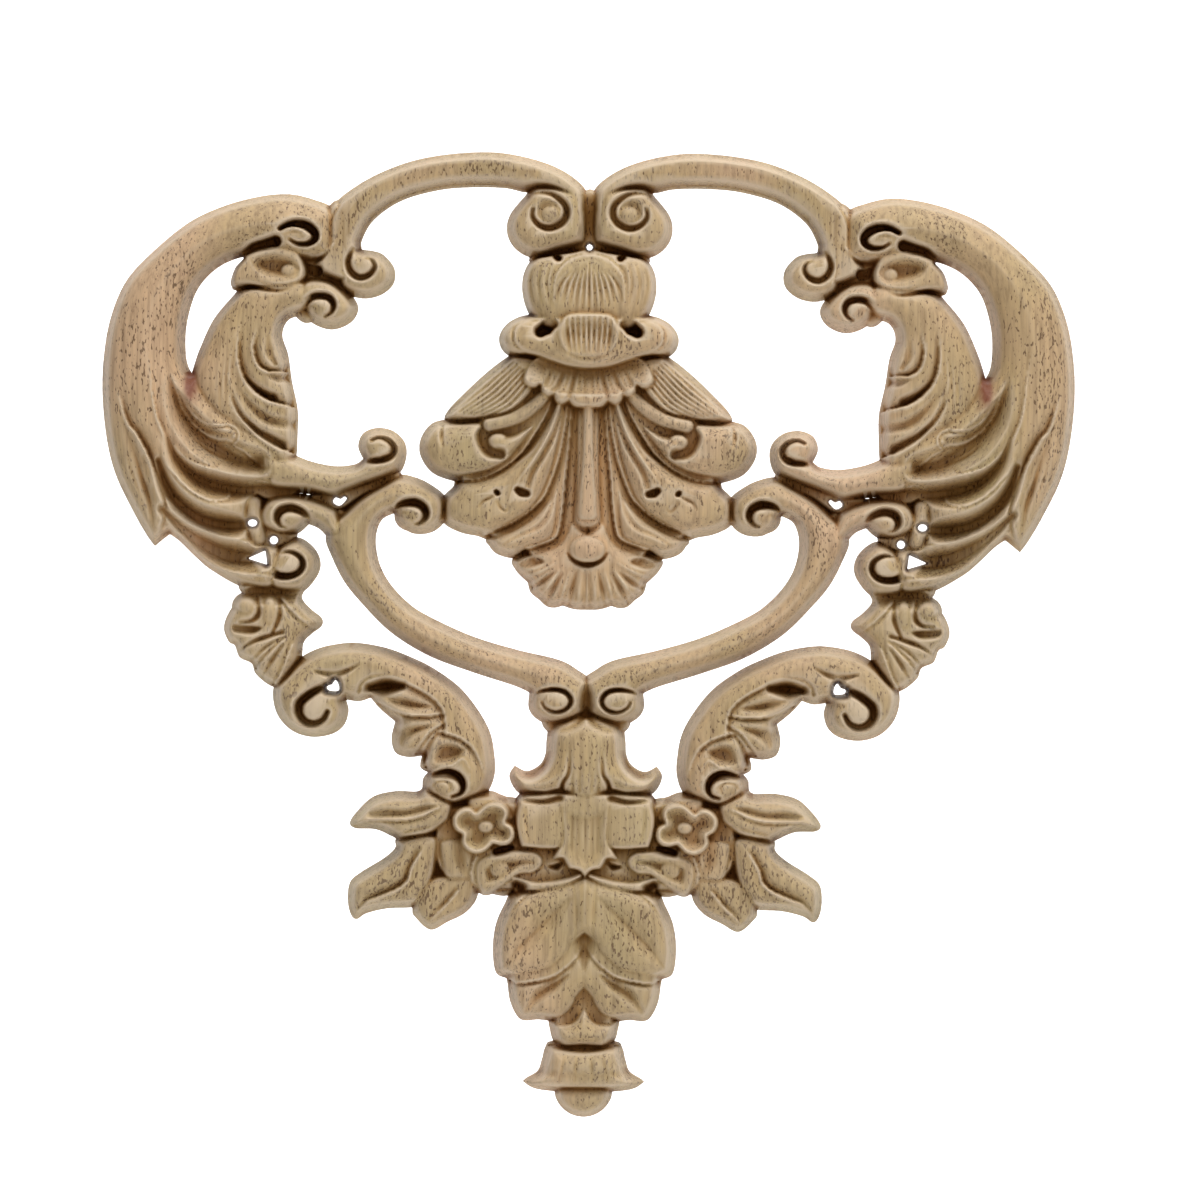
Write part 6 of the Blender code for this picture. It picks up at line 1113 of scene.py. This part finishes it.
def shade_fields(mesh, height):
    """Marks hollows and creases for the painted shade, crests for the painted highlight, and the burn
    mark of each wing.
    """
    wood = np.clip(height, 0, None)
    here = (height > 0).astype(float)
    enclosed = blur(here, RIM_RADIUS)**2
    # hollows and creases, for the painted shade
    mark(mesh, "hollow", np.clip((blur(wood, HOLLOW_RADIUS) - wood) / HOLLOW_DEPTH, 0, 1) * enclosed)
    mark(mesh, "crease", np.clip((blur(wood, CREASE_RADIUS) - wood) / CREASE_DEPTH, 0, 1) * enclosed)
    # crests, for the painted highlight
    mark(mesh, "crest", np.clip((wood - blur(wood, CREST_RADIUS)) / CREST_RISE, 0, 1) * enclosed)
    across = (U_GRID - BURN_PLACE[0])**2 / BURN_SPREAD[0]
    upward = (Z_GRID - BURN_PLACE[1])**2 / BURN_SPREAD[1]
    mark(mesh, "burn", np.clip(BURN_STRENGTH * np.exp(-(across + upward)), 0, 1))


def build_applique():
    """The finely carved applique as one piece over the plain solid."""
    height = carve()
    height = np.where(height > ROUNDED_ABOVE, blur(np.clip(height, 0, None), EDGE_SOFTNESS, 1), height)
    half = bpy.data.objects.new("applique", front_sheet(height))
    bpy.context.collection.objects.link(half)
    mirror = half.modifiers.new("other_half", "MIRROR")
    mirror.merge_threshold = MIRROR_MERGE
    bpy.context.view_layer.update()
    whole = evaluated_mesh(half)
    half.modifiers.remove(mirror)
    half.data = whole
    whole.calc_loop_triangles()
    thin = half.modifiers.new("fewer_faces", "DECIMATE")
    thin.ratio = FACES_WANTED / len(whole.loop_triangles)
    bpy.context.view_layer.update()
    carved = evaluated_mesh(half)
    half.modifiers.remove(thin)
    close_back(carved)
    shade_fields(carved, height)
    carved.shade_smooth()
    carved.set_sharp_from_angle(angle=SHARP_ANGLE)
    half.data = carved
    return half


def tree(name):
    """A new material, its shader, its links and a helper that adds nodes.

    The helper takes an input by its name, or by the letter i and its number.
    """
    material = bpy.data.materials.new(name)
    material.use_nodes = True
    nodes = material.node_tree.nodes
    links = material.node_tree.links

    def add(kind, settings=None, **inputs):
        node = nodes.new(kind)
        for key, value in (settings or {}).items():
            setattr(node, key, value)
        for key, value in inputs.items():
            numbered = key[0] == "i" and key[1:].isdigit()
            socket = node.inputs[int(key[1:]) if numbered else key]
            if isinstance(value, bpy.types.NodeSocket):
                links.new(value, socket)
            else:
                socket.default_value = value
        return node

    return material, nodes["Principled BSDF"], add, links


def ramp(add, value, stops):
    """A colour ramp over a value, from (place, colour) stops."""
    node = add("ShaderNodeValToRGB", Fac=value)
    elements = node.color_ramp.elements
    while len(elements) < len(stops):
        elements.new(0.5)
    for element, (place, colour) in zip(elements, stops):
        element.position = place
        element.color = (*colour, 1)
    return node.outputs["Color"]


def mix(add, share, first, second, blend="MIX"):
    """Two colours mixed by a share."""
    settings = {"data_type": "RGBA", "blend_type": blend}
    return add("ShaderNodeMix", settings, i0=share, i6=first, i7=second).outputs[2]


def noise(add, scale, detail, roughness=0.5):
    """Noise over the object, scaled unevenly so that it runs along the grain."""
    place = add("ShaderNodeTexCoord").outputs["Object"]
    stretched = add("ShaderNodeMapping", Vector=place, Scale=scale).outputs["Vector"]
    texture = add("ShaderNodeTexNoise", Vector=stretched, Scale=1.0, Detail=detail, Roughness=roughness)
    return texture.outputs["Fac"]


def marked(add, name):
    """A field that was stored on the mesh."""
    return add("ShaderNodeAttribute", {"attribute_name": name}).outputs["Fac"]


def wood_material():
    """Pale rubberwood with vertical grain, dark pore dashes, painted shade in brown tones deep in the
    carving and a painted highlight on crests.
    """
    material, shader, add, links = tree("rubberwood")
    grain = noise(add, GRAIN_SCALE, 4.0, GRAIN_ROUGHNESS)
    tone = ramp(add, noise(add, BROAD_SCALE, 3.0), WOOD_TONES)
    tone = mix(add, 1.0, tone, ramp(add, grain, GRAIN_TONES), "MULTIPLY")
    gather = noise(add, GATHER_SCALE, 1.0)
    pore = add("ShaderNodeMath", {"operation": "MULTIPLY_ADD"}, i0=gather, i1=GATHER_SHARE,
        i2=noise(add, PORE_SCALE, 1.0)).outputs[0]
    pore = add("ShaderNodeMapRange", i0=pore, i1=PORE_FROM, i2=PORE_FULL, i4=PORE_DARKNESS).outputs[0]
    tone = mix(add, pore, tone, PORE_COLOUR)
    # painted highlight on crests, together with paler sanded-edge wear
    tone = mix(add, marked(add, "crest"), tone, CREST_HIGHLIGHT_COLOUR)
    # painted shade: darker brown in hollows and creases
    painted_shade = add("ShaderNodeMath", {"operation": "MULTIPLY_ADD", "use_clamp": True},
        i0=marked(add, "crease"), i1=CREASE_SHARE, i2=marked(add, "hollow")).outputs[0]
    tone = mix(add, 1.0, tone, ramp(add, painted_shade, PAINTED_SHADE_TONES), "MULTIPLY")
    tone = mix(add, marked(add, "burn"), tone, BURN_COLOUR)
    links.new(tone, shader.inputs["Base Color"])
    gloss = add("ShaderNodeMapRange", i0=painted_shade, i1=GLOSS_FADES[0], i2=GLOSS_FADES[1], i3=GLOSS,
        i4=GLOSS_IN_SHADE).outputs[0]
    links.new(gloss, shader.inputs["Specular IOR Level"])
    shader.inputs["Roughness"].default_value = WOOD_ROUGHNESS
    bump = add("ShaderNodeBump", Strength=GRAIN_BUMP, Distance=GRAIN_HEIGHT, Height=grain)
    cut = add("ShaderNodeBump", {"invert": True}, Strength=PORE_BUMP, Distance=PORE_DEPTH, Height=pore,
        Normal=bump.outputs["Normal"])
    links.new(cut.outputs["Normal"], shader.inputs["Normal"])
    return material


def plain_material(name, glow):
    """The plain stage colour, which may glow like overexposed paper."""
    material, shader, _, _ = tree(name)
    shader.inputs["Base Color"].default_value = STAGE_COLOUR
    shader.inputs["Roughness"].default_value = STAGE_ROUGHNESS
    shader.inputs["Emission Color"].default_value = WHITE
    shader.inputs["Emission Strength"].default_value = glow
    return material


def stage():
    """Pale floor below the applique, and far behind it a backdrop that is bright like lit paper."""
    front, back, top = ([(-STAGE_HALF_WIDTH, y, z), (STAGE_HALF_WIDTH, y, z)] for y, z in (
        (STAGE_FRONT, FLOOR_LEVEL), (STAGE_BACK, FLOOR_LEVEL), (STAGE_BACK, BACKDROP_TOP)))
    for name, near, far, glow in (("stage_floor", front, back, 0), ("stage_backdrop", back, top, 1)):
        mesh = bpy.data.meshes.new(name)
        mesh.from_pydata(near + far[::-1], [], [(0, 1, 2, 3)])
        mesh.materials.append(plain_material(name, glow))
        sheet = bpy.data.objects.new(name, mesh)
        bpy.context.collection.objects.link(sheet)


def area_light(name, place, aim, size, power):
    """A square soft white light aimed at a point."""
    data = bpy.data.lights.new(name, "AREA")
    data.size = size
    data.energy = power
    lamp = bpy.data.objects.new(name, data)
    lamp.location = place
    lamp.rotation_euler = (Vector(aim) - Vector(place)).to_track_quat("-Z", "Y").to_euler()
    bpy.context.collection.objects.link(lamp)


def lights():
    """Soft studio light from above, with a weak fill from the front."""
    area_light("key", place=(0.45, -0.75, 2.0), aim=(0, 0, -0.02), size=2.0, power=57)
    area_light("fill", place=(0.2, -1.2, 0.1), aim=(0, 0, -0.03), size=0.9, power=4.3)
    world = bpy.data.worlds.new("studio")
    world.use_nodes = True
    sky = world.node_tree.nodes["Background"]
    sky.inputs["Color"].default_value = WHITE
    sky.inputs["Strength"].default_value = SKY_STRENGTH
    bpy.context.scene.world = world
    bpy.context.scene.view_settings.view_transform = "Standard"


def camera():
    """Straight-on camera at the photograph's framing and slight lean."""
    data = bpy.data.cameras.new("camera")
    data.lens = LENS
    data.sensor_width = SENSOR
    frame_width = PHOTO_WIDTH * PHOTO_PIXEL
    away = frame_width * LENS / SENSOR
    middle = PHOTO_WIDTH / 2
    eye = bpy.data.objects.new("camera", data)
    aside = (middle - PHOTO_CENTRE_LINE) * PHOTO_PIXEL
    level = (PHOTO_ZERO_ROW - middle) * PHOTO_PIXEL
    eye.location = (aside, -away, level)
    eye.rotation_euler = (math.pi / 2, -PHOTO_LEAN, 0)
    bpy.context.collection.objects.link(eye)
    bpy.context.scene.camera = eye


applique = build_applique()
applique.data.materials.clear()
applique.data.materials.append(wood_material())
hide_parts(NODE)
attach(applique, "root")
stage()
lights()
camera()
